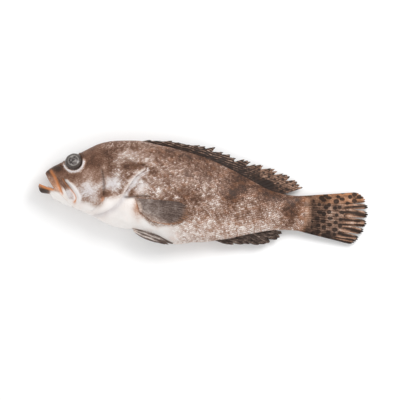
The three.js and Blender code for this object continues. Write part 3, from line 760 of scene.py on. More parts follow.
def eye_pieces(side):
    low, high = fish_box("left_eye" if side == LEFT else "right_eye")
    axis = np.array([-0.12, 0.34, 0.93 * side])
    axis /= np.linalg.norm(axis)
    east = np.cross([0.0, 1.0, 0.0], axis)
    east /= np.linalg.norm(east)
    north = np.cross(axis, east)
    turn = np.linspace(0, 2 * math.pi, 97)[None, :, None]
    slope = np.linspace(0, math.pi, 64)[:, None, None]
    # The clear front stands a little prouder over the pupil, inside a faint step at its rim.
    tall = 7.5 * np.cos(slope) * (1 + 0.10 * ease(0.8, 0.2, slope)) - 0.25 * hump(slope - 1.02, 0.07)
    across = EYE_RADIUS * np.sin(slope) * (np.cos(turn) * east + np.sin(turn) * north)
    grid = (low + high) / 2 + across + tall * axis
    if side == RIGHT:
        grid[..., 2] = np.maximum(grid[..., 2], 0.2)
    pieces = Pieces()
    pieces.add(grid, {"radial": (np.sin(slope) * np.sign(np.cos(slope)))[..., 0],
                      "behind": ease(1.4, 1.7, slope)[..., 0], "place": grid})
    return pieces


def tongue_pieces():
    low, high = fish_box("tongue")
    centre, half = (low + high) / 2, (high - low) / 2
    slope, turn = np.linspace(0, math.pi, 48)[:, None], np.linspace(0, 2 * math.pi, 65)
    width = np.sin(slope) ** 0.8
    y, z = width * np.cos(turn), width * np.sin(turn)
    x = -np.cos(slope) * half[0] * 0.98 + 0 * y
    # The upper face is dished, and the tongue's tip points up a little.
    dish = 0.35 * (1 - z * z) * (y > 0) * np.sin(slope)
    tilt = 0.9 * math.tan(math.radians(-20))
    grid = np.stack([x, y * half[1] * 0.42 * (1 - dish * 0.5) + tilt * x, z * half[2] * 0.96], -1) + centre
    grid[..., 1] = np.clip(grid[..., 1], low[1] + 0.1, high[1] - 0.1)
    pieces = Pieces()
    pieces.add(grid, {"place": grid})
    return pieces


# ---------------------------------------------------------------- fins

class Fin:
    """One fin: a strip for each ray, joined to its neighbours up to where the web between them is torn."""

    def __init__(self, fan, sheet, rays, tears, rows, columns, web, ray, seed, tip, ragged, bend, root=1.6,
                 forks=2, span=(0, 1), parted=0.78, reach=1.0, squeeze=0.0, bow=0.0):
        self.fan, self.sheet, self.rays, self.tears = fan, sheet, rays, tears
        self.rows, self.columns, self.web, self.ray, self.root = rows, columns, web, ray, root
        self.forks, self.tip, self.span = forks, tip, span
        self.reach, self.squeeze, self.bow = reach, squeeze, bow
        random = np.random.default_rng(seed)
        self.lengths = 1 - ragged * random.uniform(0, 1, rays)
        self.bends = 0.5 * bend * random.uniform(-1, 1, rays)
        self.lifts = random.uniform(-1, 1, rays)
        # Rays that no deep tear parts sway together.
        cuts = [0, *(i for i in range(1, rays) if tears[i] < parted), rays]
        self.bundles = []
        for low, high in zip(cuts[:-1], cuts[1:]):
            starts = [tears[cut] if 0 < cut < rays else 1.0 for cut in (low, high)]
            together = (low / rays, high / rays, *starts, bend * random.uniform(-1, 1), random.uniform(-1, 1))
            self.bundles += [together] * (high - low)

    def ribs(self, u, t, branch=0.35):
        """Where the ray's ribs stand across a strip: one at the root, which forks on its way out."""
        if self.forks == 0:
            return hump(u, 0.30)
        grown, again = ease(branch, branch + 0.3, t), ease(branch + 0.32, 0.98, t)
        ribs = np.maximum(hump(u - 0.42 * grown, 0.20), hump(u + 0.42 * grown, 0.20))
        for side in (-1, 1):
            for way in (-1, 1):
                fork = hump(u - side * 0.42 * grown - way * 0.21 * again, 0.20 - 0.08 * again)
                ribs = np.maximum(ribs * (1 - 0.3 * again), fork)
        return ribs

    def add_to(self, pieces, values_of):
        first_s, wide_s = self.span[0], self.span[1] - self.span[0]
        u = np.linspace(-1, 1, self.columns)[None]
        t = np.linspace(0, 1, self.rows)[:, None] ** 0.95
        for i in range(self.rays):
            low_tear, high_tear = self.tears[i], self.tears[i + 1]
            tear = np.where(u < 0, low_tear, high_tear)
            end = np.clip((t - tear) / np.maximum(1 - tear, 0.02), 0, 1)
            narrow = 1 - (1 - self.tip) * (ease(0, 1, end) * 0.55 + 0.45 * end) * (tear < 1)
            narrow = narrow * np.sqrt(np.clip((1.004 - t) / 0.03, 0, 1))
            s = (i + 0.5) / self.rays + u * narrow / (2 * self.rays)
            low_s, high_s, low_start, high_start, bundle_bend, bundle_lift = self.bundles[i]
            part = (s - low_s) / (high_s - low_s)
            open_low, open_high = ease(0, 0.34, t - low_start), ease(0, 0.34, t - high_start)
            s = s + self.squeeze * (high_s - low_s) * (open_low * (1 - part) ** 2 - open_high * part ** 2)
            s = first_s + wide_s * s
            share = (u + 1) / 2
            loose = ease(0.0, 0.2, t - low_tear) * (1 - share) + ease(0.0, 0.2, t - high_tear) * share
            parted = np.maximum(t - min(low_start, high_start), 0) ** 1.5 * 2.6
            rounding = 1 - 0.03 * (open_low * (1 - part) ** 3 + open_high * part ** 3)
            reach = t * (1 + (self.reach - 1) * t) * (1 + (self.lengths[i] - 1) * loose) * rounding
            root, tip = self.fan(np.clip(s, 0, 1))
            point = root + (tip - root) * reach[..., None]
            ray = (tip - root) / np.linalg.norm(tip - root, axis=-1, keepdims=True)
            sway = bundle_bend * parted + self.bends[i] * loose + self.bow * (1 - 2 * s) * np.sin(math.pi * t)
            point = point + np.stack([-ray[..., 1], ray[..., 0]], -1) * sway[..., None]
            x, y = point[..., 0], point[..., 1]
            edge = np.where(t > tear, np.sqrt(np.clip(1 - np.abs(u) ** 6, 0, 1)), 1.0)
            rib = self.ribs(u, t)
            thick = blend(*self.web, t) + rib * blend(*self.ray, t)
            thick = (thick + self.root * ease(0.25, 0.0, t)) * edge
            thick = thick * np.sqrt(np.clip((1.0 - t) / 0.05, 0, 1)) * ease(0, 0.01, t)
            middle = self.sheet(x, y, s, t) + bundle_lift * 0.9 * parted + self.lifts[i] * 0.3 * loose
            values = values_of(x, y, s, t)
            values.update({"rib": rib, "along": t, "across": (s - first_s) / wide_s * self.rays,
                           "place": np.stack([x, y, middle], -1)})
            column = first_s + wide_s * i / self.rays
            for sign, first in ((1, 0.0), (-1, 0.5)):
                grid = np.stack([x, y, middle + sign * thick / 2], -1)
                if np.min(grid[..., 2]) < 0.12:
                    grid[..., 2] = press(grid[..., 2], 0.06 if sign < 0 else 0.06 + thick * 0.9, 0.3)
                pieces.add(grid, values, (first, column, first + 0.49, column + 0.98 * wide_s / self.rays))


def tears_of(rays, shallow, deep, bundles, seed):
    """How far out the web holds between the rays: mostly to shallow, and only to deep between the bundles."""
    random = np.random.default_rng(seed)
    tears = random.uniform(shallow[0], shallow[1], rays + 1)
    for bundle in bundles:
        tears[bundle] = random.uniform(deep[0], deep[1])
    tears[0] = tears[-1] = 0.0
    return tears


def plane_sheet(droop, beside=0.0, wave=0.8, waves=2.0):
    def sheet(x, y, s, t):
        return middle_at(x) + beside + (wave * np.sin(waves * 2 * math.pi * s + 2.5 * t) - droop) * t * t
    return sheet


def pectoral_sheet(side):
    def sheet(x, y, s, t):
        swell = 0.6 * hump(x - 132, 8) - 3.6 * ease(0.07, 0.0, t) if side == LEFT else 0
        z = flank(x, y, side) + side * (1.2 + 2.0 * t * t + swell)
        return z if side == LEFT else np.maximum(z, 0.95)
    return sheet


def spot_lattice(x, y, left, right, low, high, pitch, size, seed):
    """Round spots in staggered rows, none quite in its place."""
    random = np.random.default_rng(seed)
    total = np.zeros(np.shape(x))
    for i, sx in enumerate(np.arange(left, right, pitch * 0.86)):
        for sy in np.arange(low + (i % 2) * pitch / 2, high, pitch):
            cx, cy = sx + random.normal(0, 0.14 * pitch), sy + random.normal(0, 0.12 * pitch)
            long, deep = size * random.uniform(0.8, 1.35), size * random.uniform(0.7, 1.1)
            total = np.maximum(total, ease(1.25, 0.75, np.hypot((x - cx) / long, (y - cy) / deep)))
    return total


def bars_of(turn):
    return 0.5 + 0.5 * np.sin(turn)


def tail_values(x, y, s, t):
    """Spots at the base, a brown edge on top, and bars across the split end."""
    base, outer = ease(0.23, 0.11, t), ease(0.60, 0.72, t)
    upper, top = ease(0.09, 0.0, s), ease(0.27, 0.22, s)
    spots = spot_lattice(x, y, 362 * GROWTH, 424 * GROWTH, 18, 90, 8.8, 2.9, 36) * ease(0.16, 0.27, t)
    bars = bars_of(2 * math.pi * 21 * s / 2.05 + 1.3 * np.sin(9 * t + 20 * s) + 0.8)
    white = 0.40 + 0.20 * base * ease(0.0, 0.16, s) - 0.10 * upper * ease(0.35, 0.2, t)
    white = white + 0.14 * ripples(x, y, 18, 31) - 0.22 * ease(0.72, 0.92, s)
    white = white - 0.30 * hump(t - 0.26, 0.11) * (0.6 + 0.9 * ripples(x, y, 15, 37))
    barred = outer * (1 - 0.6 * top) * (0.75 + 0.25 * ripples(x, y, 14, 38))
    warm = 0.22 * base * (0.6 + 0.8 * ripples(x, y, 13, 45)) + 0.22 * upper * ease(0.1, 0.4, t)
    warm = warm + 0.30 * top * ease(0.15, 0.45, t) + 0.24 * outer * (1 - bars) + 0.12 * (1 - s)
    tips = 0.8 * ease(0.93, 0.99, t) * ease(0.15, 0.3, s)
    return {"white": white + barred * (0.36 - 0.98 * bars), "orange": warm,
            "spots": np.maximum(spots * (1 - 0.6 * outer * (1 - top)), tips), "streaks": 0.5 + 0.1 * outer}


def dorsal_values(x, y, s, t):
    """Barred spines, and a spotted soft part with one large black spot."""
    soft, outward = ease(0.56, 0.62, s), ease(0.1, 0.8, t)
    back_line = section(np.clip(x, 0, LENGTH))[0]
    spot = drawn((297, 86))
    black = ease(1.25, 0.75, np.hypot((x - spot[0]) / 11, (y - spot[1]) / 6.5)) * soft
    spots = spot_lattice(x, y, 262, 345, 76, 118, 7.4, 1.9, 39)
    bars = bars_of(2 * math.pi * 0.16 * (0.55 * x + 2.2 * y) + 2.2 * ripples(x, y, 20, 40))
    light = soft * ease(268 * GROWTH, 292 * GROWTH, x)
    white = blend(0.60 * bars ** 2 * (0.6 + 0.4 * outward) - 0.08, 0.15 + 0.30 * outward - 0.20 * bars, light)
    # The black spot is the fin's own; the darkening just over the back line is painted shade along the fin's
    # base.
    white = white - 1.2 * black - 0.18 * hump(y - back_line - 0.5, 1.6) * ease(0.08, 0.2, s)
    return {"white": white + 0.10 * ripples(x, y, 15, 32), "orange": 0.10 * light,
            "spots": np.maximum(0.8 * soft * spots, black), "streaks": 0.75}


def anal_values(x, y, s, t):
    """Dark, with pale tips in front."""
    tips = ease(0.80, 1.0, t) * ease(0.35, 0.1, s)
    return {"white": 0.30 + 0.45 * tips + 0.10 * ripples(x, y, 14, 33), "orange": 0.0, "spots": 0.0,
            "streaks": 0.9}


def pectoral_values(x, y, s, t):
    """Pale at the base, darker outwards, with a warm rear edge."""
    trailing, base = ease(0.84, 1.0, t) * ease(0.15, 0.4, s), ease(0.13, 0.04, t - 0.06 * s)
    white = 0.50 + 0.26 * base - 0.30 * ease(0.22, 0.75, t) * ease(0.95, 0.6, s) + 0.10 * ease(0.5, 0.9, s)
    return {"white": white + 0.07 * ripples(x, y, 16, 34), "spots": 0.0, "streaks": 0.50,
            "orange": 0.70 * trailing + 0.16 * ease(0.6, 1.0, s) + 0.22 * base}


def pelvic_values(x, y, s, t):
    """White at the base and streaked outwards."""
    base = ease(0.22, 0.02, t)
    streak = np.sin(2 * math.pi * 2.6 * s + 3 * t) * ease(0.95, 0.6, t)
    white = 0.62 + 0.34 * base - 0.42 * ease(0.40, 0.90, t) * ease(0.1, 0.5, s + 0.3 * t) + 0.24 * streak
    return {"white": white, "orange": 0.10 * base, "spots": 0.0, "streaks": 1.0}


# ---------------------------------------------------------------- materials

def linear(colour):
    return tuple(c / 12.92 if c <= 0.04045 else ((c + 0.055) / 1.055) ** 2.4 for c in colour)


class Tree:
    """Short ways to add nodes to a material or a node group."""

    def __init__(self, tree):
        self.tree = tree

    def add(self, kind, values=(), **settings):
        node = self.tree.nodes.new(kind)
        for key, value in settings.items():
            setattr(node, key, value)
        self.give(node.inputs, dict(values))
        return node

    def give(self, inputs, values):
        """Sets inputs to constants, or links them to sockets."""
        for key, value in values.items():
            if isinstance(value, bpy.types.NodeSocket):
                self.tree.links.new(value, inputs[key])
            else:
                inputs[key].default_value = value

    def math(self, operation, a, b=0.0, clamp=False):
        return self.add("ShaderNodeMath", {0: a, 1: b}, operation=operation, use_clamp=clamp).outputs[0]

    def vectors(self, operation, values):
        return self.add("ShaderNodeVectorMath", values, operation=operation).outputs

    def sum(self, *terms):
        total = terms[0]
        for term in terms[1:]:
            total = self.math("ADD", total, term)
        return total

    def times(self, first, *others):
        for other in others:
            first = self.math("MULTIPLY", first, other)
        return first

    def centred(self, value):
        return self.math("SUBTRACT", value, 0.5)

    def span(self, value, low, high, to_low=0.0, to_high=1.0):
        """Maps low..high to 0..1 smoothly, or to other ends."""
        return self.add("ShaderNodeMapRange", {0: value, 1: low, 2: high, 3: to_low, 4: to_high},
                        interpolation_type="SMOOTHSTEP").outputs[0]

    def mix(self, factor, a, b):
        """Between two colours, each a socket or a colour as a screen shows it."""
        a, b = (c if isinstance(c, bpy.types.NodeSocket) else (*linear(c), 1) for c in (a, b))
        return self.add("ShaderNodeMix", {0: factor, 6: a, 7: b}, data_type="RGBA").outputs[2]

    def value(self, name):
        return self.add("ShaderNodeAttribute", attribute_name=name).outputs["Fac"]

    def vector(self, name):
        return self.add("ShaderNodeAttribute", attribute_name=name).outputs["Vector"]

    def noise(self, place, size, detail=2.0, roughness=0.5):
        return self.add("ShaderNodeTexNoise", {"Vector": place, "Scale": 1.0 / size, "Detail": detail,
                                               "Roughness": roughness}).outputs[0]

    def ramp(self, value, stops):
        node = self.add("ShaderNodeValToRGB", {0: value})
        elements = node.color_ramp.elements
        while len(elements) < len(stops):
            elements.new(0.5)
        for element, (at, colour) in zip(elements, stops):
            element.position = at
            element.color = (*linear(colour), 1)
        return node.outputs[0]


def group(name, inputs, outputs):
    """A new node group of values in and out, whose first input is a place."""
    tree = bpy.data.node_groups.new(name, "ShaderNodeTree")
    tree.interface.new_socket("Place", in_out="INPUT", socket_type="NodeSocketVector")
    for label, default in inputs.items():
        socket = tree.interface.new_socket(label, in_out="INPUT", socket_type="NodeSocketFloat")
        socket.default_value = default
    for label in outputs:
        tree.interface.new_socket(label, in_out="OUTPUT", socket_type="NodeSocketFloat")
    return Tree(tree), tree.nodes.new("NodeGroupInput").outputs, tree.nodes.new("NodeGroupOutput").inputs


def scales_group(name="Fish scales"):
    """Small lapped scales in a diamond lattice: their height, a random tone for each, and their rims."""
    if name in bpy.data.node_groups:
        return bpy.data.node_groups[name]
    tree, given, out = group(name, {"Size": 2.8}, ("Height", "Tone", "Rim"))
    turned = tree.add("ShaderNodeMapping", {"Vector": given["Place"], "Rotation": (0, 0, math.pi / 4),
                                            "Scale": (0.86, 1.0, 1.0)}).outputs[0]
    place = tree.vectors("SCALE", {0: turned, 3: tree.math("DIVIDE", 1.0, given["Size"])})[0]
    lattice = {"Vector": place, "Scale": 1.0, "Randomness": 0.5}
    cells, edges = (tree.add("ShaderNodeTexVoronoi", lattice, voronoi_dimensions="2D", feature=kind).outputs
                    for kind in ("F1", "DISTANCE_TO_EDGE"))
    inner = tree.vectors("SUBTRACT", {0: place, 1: cells["Position"]})[0]
    rear = tree.vectors("DOT_PRODUCT", {0: inner, 1: (0.7, -0.7, 0.0)})[1]
    rim = tree.span(edges["Distance"], 0.0, 0.16)
    height = tree.times(tree.sum(tree.math("MULTIPLY_ADD", rear, 0.8), 0.5), rim)
    tone = tree.add("ShaderNodeSeparateColor", {0: cells["Color"]}).outputs[0]
    tree.give(out, {"Height": height, "Tone": tone, "Rim": rim})
    return tree.tree


def mottle_group(name="Mottling"):
    """Blotches, specks and fine grain, as one number about zero."""
    if name in bpy.data.node_groups:
        return bpy.data.node_groups[name]
    tree, given, out = group(name, {"Blotches": 0.5, "Specks": 0.5, "Grain": 0.3}, ("Amount",))
    waves = (("Blotches", 9.0, 3.0), ("Specks", 1.6, 2.0), ("Grain", 0.9, 1.0))
    terms = [tree.times(tree.centred(tree.noise(given["Place"], size, detail, 0.6)), 3.0, given[strength])
             for strength, size, detail in waves]
    tree.give(out, {"Amount": tree.sum(*terms)})
    return tree.tree


def mottling_of(tree, place, blotches, specks, grain):
    values = {"Place": place, "Blotches": blotches, "Specks": specks, "Grain": grain}
    return tree.add("ShaderNodeGroup", values, node_tree=mottle_group()).outputs[0]


def new_material(name):
    material = bpy.data.materials.new(name)
    material.use_nodes = True
    return material, Tree(material.node_tree)


def finish(material, values, height=None, strength=1.0, grain=MM):
    """Gives the shader its values and a bump, and returns the material."""
    tree = Tree(material.node_tree)
    if height is not None:
        bump = tree.add("ShaderNodeBump", {"Height": height, "Strength": strength, "Distance": grain})
        values["Normal"] = bump.outputs[0]
    tree.give(material.node_tree.nodes["Principled BSDF"].inputs, values)
    return material


def skin_material(name, look):
    """Scaly, mottled skin, from dark brown to white, under a thin wet film."""
    material, tree = new_material(name)
    place, white, scaly = tree.vector("place"), tree.value("white"), tree.value("scaly")
    scales = tree.add("ShaderNodeGroup", {"Place": place, "Size": look.scale_size / MM},
                      node_tree=scales_group()).outputs
    mottling = mottling_of(tree, place, 0.22, 0.30, 0.22)
    calm = tree.times(tree.span(white, 0.66, 0.98, 1.0, 0.10),
                      tree.span(tree.value("smooth"), 0.0, 1.0, 1.0, 0.75))
    tone = tree.sum(tree.times(tree.centred(scales["Tone"]), 0.34),
                    tree.times(tree.centred(scales["Height"]), 0.30))
    amount = tree.sum(white, tree.times(tree.sum(mottling, tree.times(tone, scaly)), calm))
    base = tree.ramp(amount, [(0.0, look.deep_brown), (0.25, look.brown), (0.47, look.tan), (0.65, look.fawn),
                              (0.80, look.pale), (1.0, look.white)])
    cool = tree.times(tree.value("cool"), tree.span(amount, 0.5, 0.8))
    base = tree.mix(tree.math("MULTIPLY", cool, 0.75, clamp=True), base, look.cool)
    flecks = tree.span(tree.noise(place, 2.2, 3.0), 0.2, 0.6, 0.75, 1.0)
    base = tree.mix(tree.times(tree.value("orange"), flecks), base, look.orange)
    # The dark value brings in dark marks of the coat and the painted shadow in the pectoral fin's pocket and
    # under the gill cover's edge.
    base = tree.mix(tree.math("MULTIPLY", tree.value("dark"), 0.8, clamp=True), base, look.deep_brown)
    base = tree.mix(tree.value("mouth"), base, look.mouth)
    rim = tree.times(tree.span(scales["Rim"], 0.0, 1.0, 0.22, 0.0), tree.times(scaly, calm))
    wet = tree.noise(place, 9.0)
    height = tree.sum(tree.times(scales["Height"], scaly, look.scale_depth / MM),
                      tree.times(tree.noise(place, 1.6, 3.0), 0.16), tree.times(tree.noise(place, 6.0), 0.25))
    return finish(material, {
        "Base Color": tree.mix(rim, base, look.brown), "Coat Roughness": 0.2, "Specular IOR Level": 0.22,
        "IOR": 1.42,
        "Roughness": tree.span(wet, 0.25, 0.75, look.roughness - 0.08, look.roughness + 0.12),
        "Coat Weight": tree.span(wet, 0.3, 0.7, look.wetness, 0.4 * look.wetness)}, height, 0.8)


def fin_material(name, look, kind):
    """A fin's rays and webs, streaked along the rays and spotted, in the colours of its kind."""
    material, tree = new_material(name)
    place, rib, across, along = (tree.vector("place"), *map(tree.value, ("rib", "across", "along")))
    mottling = mottling_of(tree, place, 0.14, 0.22, 0.16)
    on_ray = tree.add("ShaderNodeCombineXYZ", {0: tree.times(along, 5.0), 1: tree.times(across, 1.7)})
    streaks = tree.centred(tree.noise(on_ray.outputs[0], 1.0, 3.0, 0.6))
    streaks = tree.times(streaks, tree.times(tree.value("streaks"), 1.5))
    # The segments of the rays show as fine steps across them.
    out = tree.add("ShaderNodeCombineXYZ", {0: tree.times(along, 9.0)}).outputs[0]
    steps = tree.add("ShaderNodeTexWave", {"Vector": out, "Scale": 1.9, "Distortion": 1.2,
                                           "Detail": 2.0}).outputs["Fac"]
    amount = tree.sum(tree.value("white"), mottling, streaks,
                      tree.times(tree.math("SUBTRACT", rib, 0.45), 0.20),
                      tree.times(tree.centred(steps), rib, 0.06))
    tones = [getattr(look, f"{kind}_{tone}") for tone in ("dark", "middle", "pale")]
    base = tree.ramp(amount, list(zip((0.05, 0.34, 0.62, 0.92), (*tones, look.white))))
    warm = tree.times(tree.value("orange"), tree.span(amount, 0.05, 0.45, 0.25, 1.0))
    wobble = tree.times(tree.centred(tree.noise(place, 3.0)), 0.9)
    spots = tree.times(tree.span(tree.sum(tree.value("spots"), wobble), 0.3, 0.7), 0.9)
    height = tree.sum(tree.times(steps, rib, 0.10), tree.times(streaks, 0.5),
                      tree.times(tree.noise(place, 1.1), 0.14))
    matt = tree.span(mottling, -0.4, 0.4, look.roughness + 0.05, look.roughness - 0.08)
    return finish(material, {
        "Base Color": tree.mix(spots, tree.mix(warm, base, look.orange), look.spot), "Roughness": matt,
        "Coat Weight": tree.span(rib, 0.0, 1.0, 0.03, 0.12), "Coat Roughness": 0.25,
        "Specular IOR Level": 0.12}, height, 0.7)


def eye_material(look):
    """A cloudy pupil with pale patches, in a thin bright ring of painted highlight, a dark iris and a pale
    rim.
    """
    material, tree = new_material("Eye")
    place, radial = tree.vector("place"), tree.value("radial")
    cloud = tree.noise(place, 3.2, 3.0, 0.6)
    edge = tree.sum(radial, tree.times(tree.centred(cloud), 0.07))
    pupil = tree.mix(tree.span(cloud, 0.38, 0.66), look.pupil, look.cloud)
    # Pale patches on the pupil in the ring's colour: partly its cloudy film and partly painted glints.
    film = tree.span(tree.noise(place, 4.5, 1.0), 0.52, 0.66)
    pupil = tree.mix(tree.times(film, 0.5), pupil, look.ring)
    iris = tree.mix(tree.span(tree.noise(place, 1.0), 0.3, 0.7), look.iris, look.iris_light)
    # The thin bright ring round the pupil is a painted highlight.
    ring = tree.times(tree.span(edge, 0.50, 0.56), tree.span(edge, 0.66, 0.58), 0.38)
    base = tree.mix(ring, tree.mix(tree.span(edge, 0.56, 0.62), pupil, iris), look.ring)
    base = tree.mix(tree.span(edge, 0.93, 0.99), base, look.sclera)
    base = tree.mix(tree.value("behind"), base, look.sclera)
    return finish(material, {"Base Color": base, "Roughness": 0.4, "Coat Weight": 0.45,
                             "Coat Roughness": 0.06, "Specular IOR Level": 0.12}, tree.times(cloud, 0.3), 0.25)


def tongue_material(look):
    material, tree = new_material("Tongue")
    place = tree.vector("place")
    base = tree.mix(tree.span(tree.noise(place, 2.5, 3.0), 0.35, 0.65), look.mouth, look.tongue)
    values = {"Base Color": base, "Roughness": 0.4, "Coat Weight": 0.4, "Coat Roughness": 0.15}
    return finish(material, values, tree.noise(place, 0.8), 0.5, 0.4 * MM)


def floor_material(colour, shade=(0.9063, 0.9063, 0.9063)):
    material, tree = new_material("Pale floor")
    tone = tree.noise(tree.add("ShaderNodeTexCoord").outputs["Object"], 0.02, 3.0)
    return finish(material, {"Base Color": tree.mix(tree.times(tone, 0.04), colour, shade), "Roughness": 0.7,
                             "Specular IOR Level": 0.1})


# ---------------------------------------------------------------- settings

def colour_of(name, description, *screen):
    return FloatVectorProperty(name=name, description=description, default=[c / 255 for c in screen],
                               subtype="COLOR", size=3, min=0.0, max=1.0)


def length_of(name, description, default, least):
    return FloatProperty(name=name, description=description, default=default, min=least, unit="LENGTH")


def share_of(name, description, default):
    return FloatProperty(name=name, description=description, default=default, min=0.0, max=1.0,
                         subtype="FACTOR")


def count_of(name, description, default, least=4):
    return IntProperty(name=name, description=description, default=default, min=least)


class GrouperSkin(PropertyGroup):
    scale_size: length_of("Scale size", "Length of one scale", 0.0022, 0.001)
    scale_depth: length_of("Scale depth", "How far the rear of a scale stands up", 0.00045, 0.0)
    roughness: share_of("Roughness", "How matt the damp skin is", 0.46)
    wetness: share_of("Wetness", "Strength of the wet film", 0.14)
    # Deep brown also colours the painted shadow in the pectoral fin's pocket and under the gill cover's edge.
    deep_brown: colour_of("Deep brown", "Darkest marks of the skin", 56, 38, 28)
    brown: colour_of("Brown", "Dark blotches of the head and back", 97, 66, 50)
    tan: colour_of("Tan", "Ground colour of the back", 135, 103, 86)
    fawn: colour_of("Fawn", "Ground colour of the flank", 178, 152, 137)
    pale: colour_of("Pale", "Pale patches of the flank", 210, 197, 189)
    white: colour_of("White", "Belly and throat", 243, 239, 236)
    cool: colour_of("Cool", "Silvery patches of the cheek and gill cover", 210, 207, 210)
    orange: colour_of("Orange", "Creases of the lips and jaw", 208, 136, 86)
    mouth: colour_of("Mouth", "Lining of the mouth", 236, 216, 202)
    tongue: colour_of("Tongue", "Tongue", 222, 190, 176)


class GrouperFins(PropertyGroup):
    tail_rays: count_of("Tail rays", "Number of rays of the tail", 21, 6)
    soft_rays: count_of("Soft rays", "Number of soft rays of the back fin", 16)
    spines: count_of("Spines", "Number of spines of the back fin", 11)
    pectoral_rays: count_of("Pectoral rays", "Number of rays of a pectoral fin", 17)
    web: length_of("Web thickness", "Thickness of the web at the fins' base", 0.0009, 0.0002)
    roughness: share_of("Roughness", "How matt the fins are", 0.48)
    white: colour_of("White", "Palest parts of the fins", 228, 218, 210)
    orange: colour_of("Orange", "Warm edges of the fins", 182, 124, 82)
    spot: colour_of("Spot", "Spots of the back fin and the tail", 34, 22, 16)
    tail_dark: colour_of("Tail dark", "Dark parts of the back fin and the tail", 38, 26, 20)
    tail_middle: colour_of("Tail middle", "Ground colour of the back fin and the tail", 98, 74, 61)
    tail_pale: colour_of("Tail pale", "Pale parts of the back fin and the tail", 158, 130, 113)
    pectoral_dark: colour_of("Pectoral dark", "Dark parts of the paired fins", 66, 52, 46)
    pectoral_middle: colour_of("Pectoral middle", "Ground colour of the paired fins", 108, 92, 85)
    pectoral_pale: colour_of("Pectoral pale", "Pale parts of the paired fins", 156, 143, 136)
    anal_dark: colour_of("Anal dark", "Dark parts of the anal fin", 30, 22, 18)
    anal_middle: colour_of("Anal middle", "Ground colour of the anal fin", 72, 58, 51)
    anal_pale: colour_of("Anal pale", "Pale parts of the anal fin", 130, 112, 101)


class GrouperEyes(PropertyGroup):
    pupil: colour_of("Pupil", "Dark of the pupil", 44, 37, 35)
    cloud: colour_of("Cloud", "Cloudy film over the pupil", 104, 96, 94)
    # Colour of the painted highlight ring round the pupil, which also tints the pale patches on the pupil.
    ring: colour_of("Ring", "Thin bright ring round the pupil", 176, 170, 164)
    iris: colour_of("Iris", "Dark of the iris", 46, 38, 34)
    iris_light: colour_of("Iris light", "Light grain of the iris", 92, 82, 77)
    sclera: colour_of("Rim", "Pale rim of the eye", 190, 184, 182)


class GrouperStage(PropertyGroup):
    floor_size: length_of("Floor size", "Side of the floor", 6.0, 1.0)
    floor_colour: colour_of("Floor", "Colour of the floor", 250, 250, 250)
    key: FloatProperty(name="Key light", description="Power of the soft box", default=5.6, min=0.0,
                       unit="POWER")
    fill: FloatProperty(name="Fill light", description="Strength of the white room", default=0.92, min=0.0)
    distance: length_of("Camera distance", "Camera above the fish's middle", 3.2, 0.3)
    width: length_of("View width", "Width of the view at the fish's middle", 0.5236, 0.1)
    turn: FloatProperty(name="Camera turn", description="Turn of the camera about its axis",
                        default=math.radians(4.365), subtype="ANGLE")


# What the camera looks straight down on, as shares of the fish's length and depth, the level of the floor
# just under the fish and the lines of its grid, and where the soft box hangs and what it is turned to.
VIEW_CENTRE = (0.608, 0.4585)
FLOOR_LEVEL, FLOOR_LINES = -0.0002, 9
LAMP_SIZE, LAMP_AT, LAMP_AIM = 0.55, (0.42, 0.52, 0.85), (0, 0, 0.02)

# ---------------------------------------------------------------- operators

class GROUPER_OT_stage(Operator):
    """Adds the camera, the floor and the lights"""
    bl_idname = "grouper.stage"
    bl_label = "Stage"

    def execute(self, context):
        look, scene = context.scene.grouper_stage, context.scene
        camera = bpy.data.objects.new("Camera", bpy.data.cameras.new("Camera"))
        target = to_frame((VIEW_CENTRE[0] * LENGTH, VIEW_CENTRE[1] * DEPTH, 0.5 * HEIGHT))
        camera.location = target + np.array([0, 0, look.distance])
        camera.rotation_euler = (0, 0, look.turn)
        camera.data.lens = camera.data.sensor_width * look.distance / look.width
        camera.data.clip_end = 20
        scene.camera = camera
        at, last = np.linspace(-0.5, 0.5, FLOOR_LINES) * look.floor_size, FLOOR_LINES - 1
        corners = np.arange(FLOOR_LINES ** 2).reshape(FLOOR_LINES, FLOOR_LINES)
        faces = np.stack([corners[:last, :last], corners[1:, :last], corners[1:, 1:], corners[:last, 1:]], -1)
        mesh = bpy.data.meshes.new("Floor")
        mesh.from_pydata([(x, y, FLOOR_LEVEL) for x in at for y in at], [], faces.reshape(-1, 4).tolist())
        mesh.materials.append(floor_material(look.floor_colour))
        floor = bpy.data.objects.new("Floor", mesh)
        lamp = bpy.data.lights.new("Soft box", "AREA")
        lamp.shape, lamp.size, lamp.energy = "DISK", LAMP_SIZE, look.key
        box = bpy.data.objects.new("Soft box", lamp)
        box.location = LAMP_AT
        box.rotation_euler = (Vector(LAMP_AIM) - box.location).to_track_quat("-Z", "Y").to_euler()
        for thing in (camera, floor, box):
            scene.collection.objects.link(thing)
        world = bpy.data.worlds.new("White room")
        world.use_nodes = True
        background = world.node_tree.nodes["Background"]
        background.inputs[0].default_value = (1.0, 1.0, 1.0, 1)
        background.inputs[1].default_value = look.fill
        scene.world = world
        scene.view_settings.view_transform = "Standard"
        return {"FINISHED"}


class GROUPER_OT_body(Operator):
    """Adds the skin of the body and the upper head"""
    bl_idname = "grouper.body"
    bl_label = "Body"

    def execute(self, context):
        look = context.scene.grouper_skin
        place("Body_skin", body_pieces(), skin_material("Skin", look), "skin", "body")
        return {"FINISHED"}


class GROUPER_OT_jaw(Operator):
    """Adds the lower jaw with its lip and the floor of the mouth"""
    bl_idname = "grouper.jaw"
    bl_label = "Lower jaw"

    def execute(self, context):
        look = context.scene.grouper_skin
        place("Lower_jaw_skin", jaw_pieces(), skin_material("Jaw skin", look), "jaw_skin", "lower_jaw")
        return {"FINISHED"}


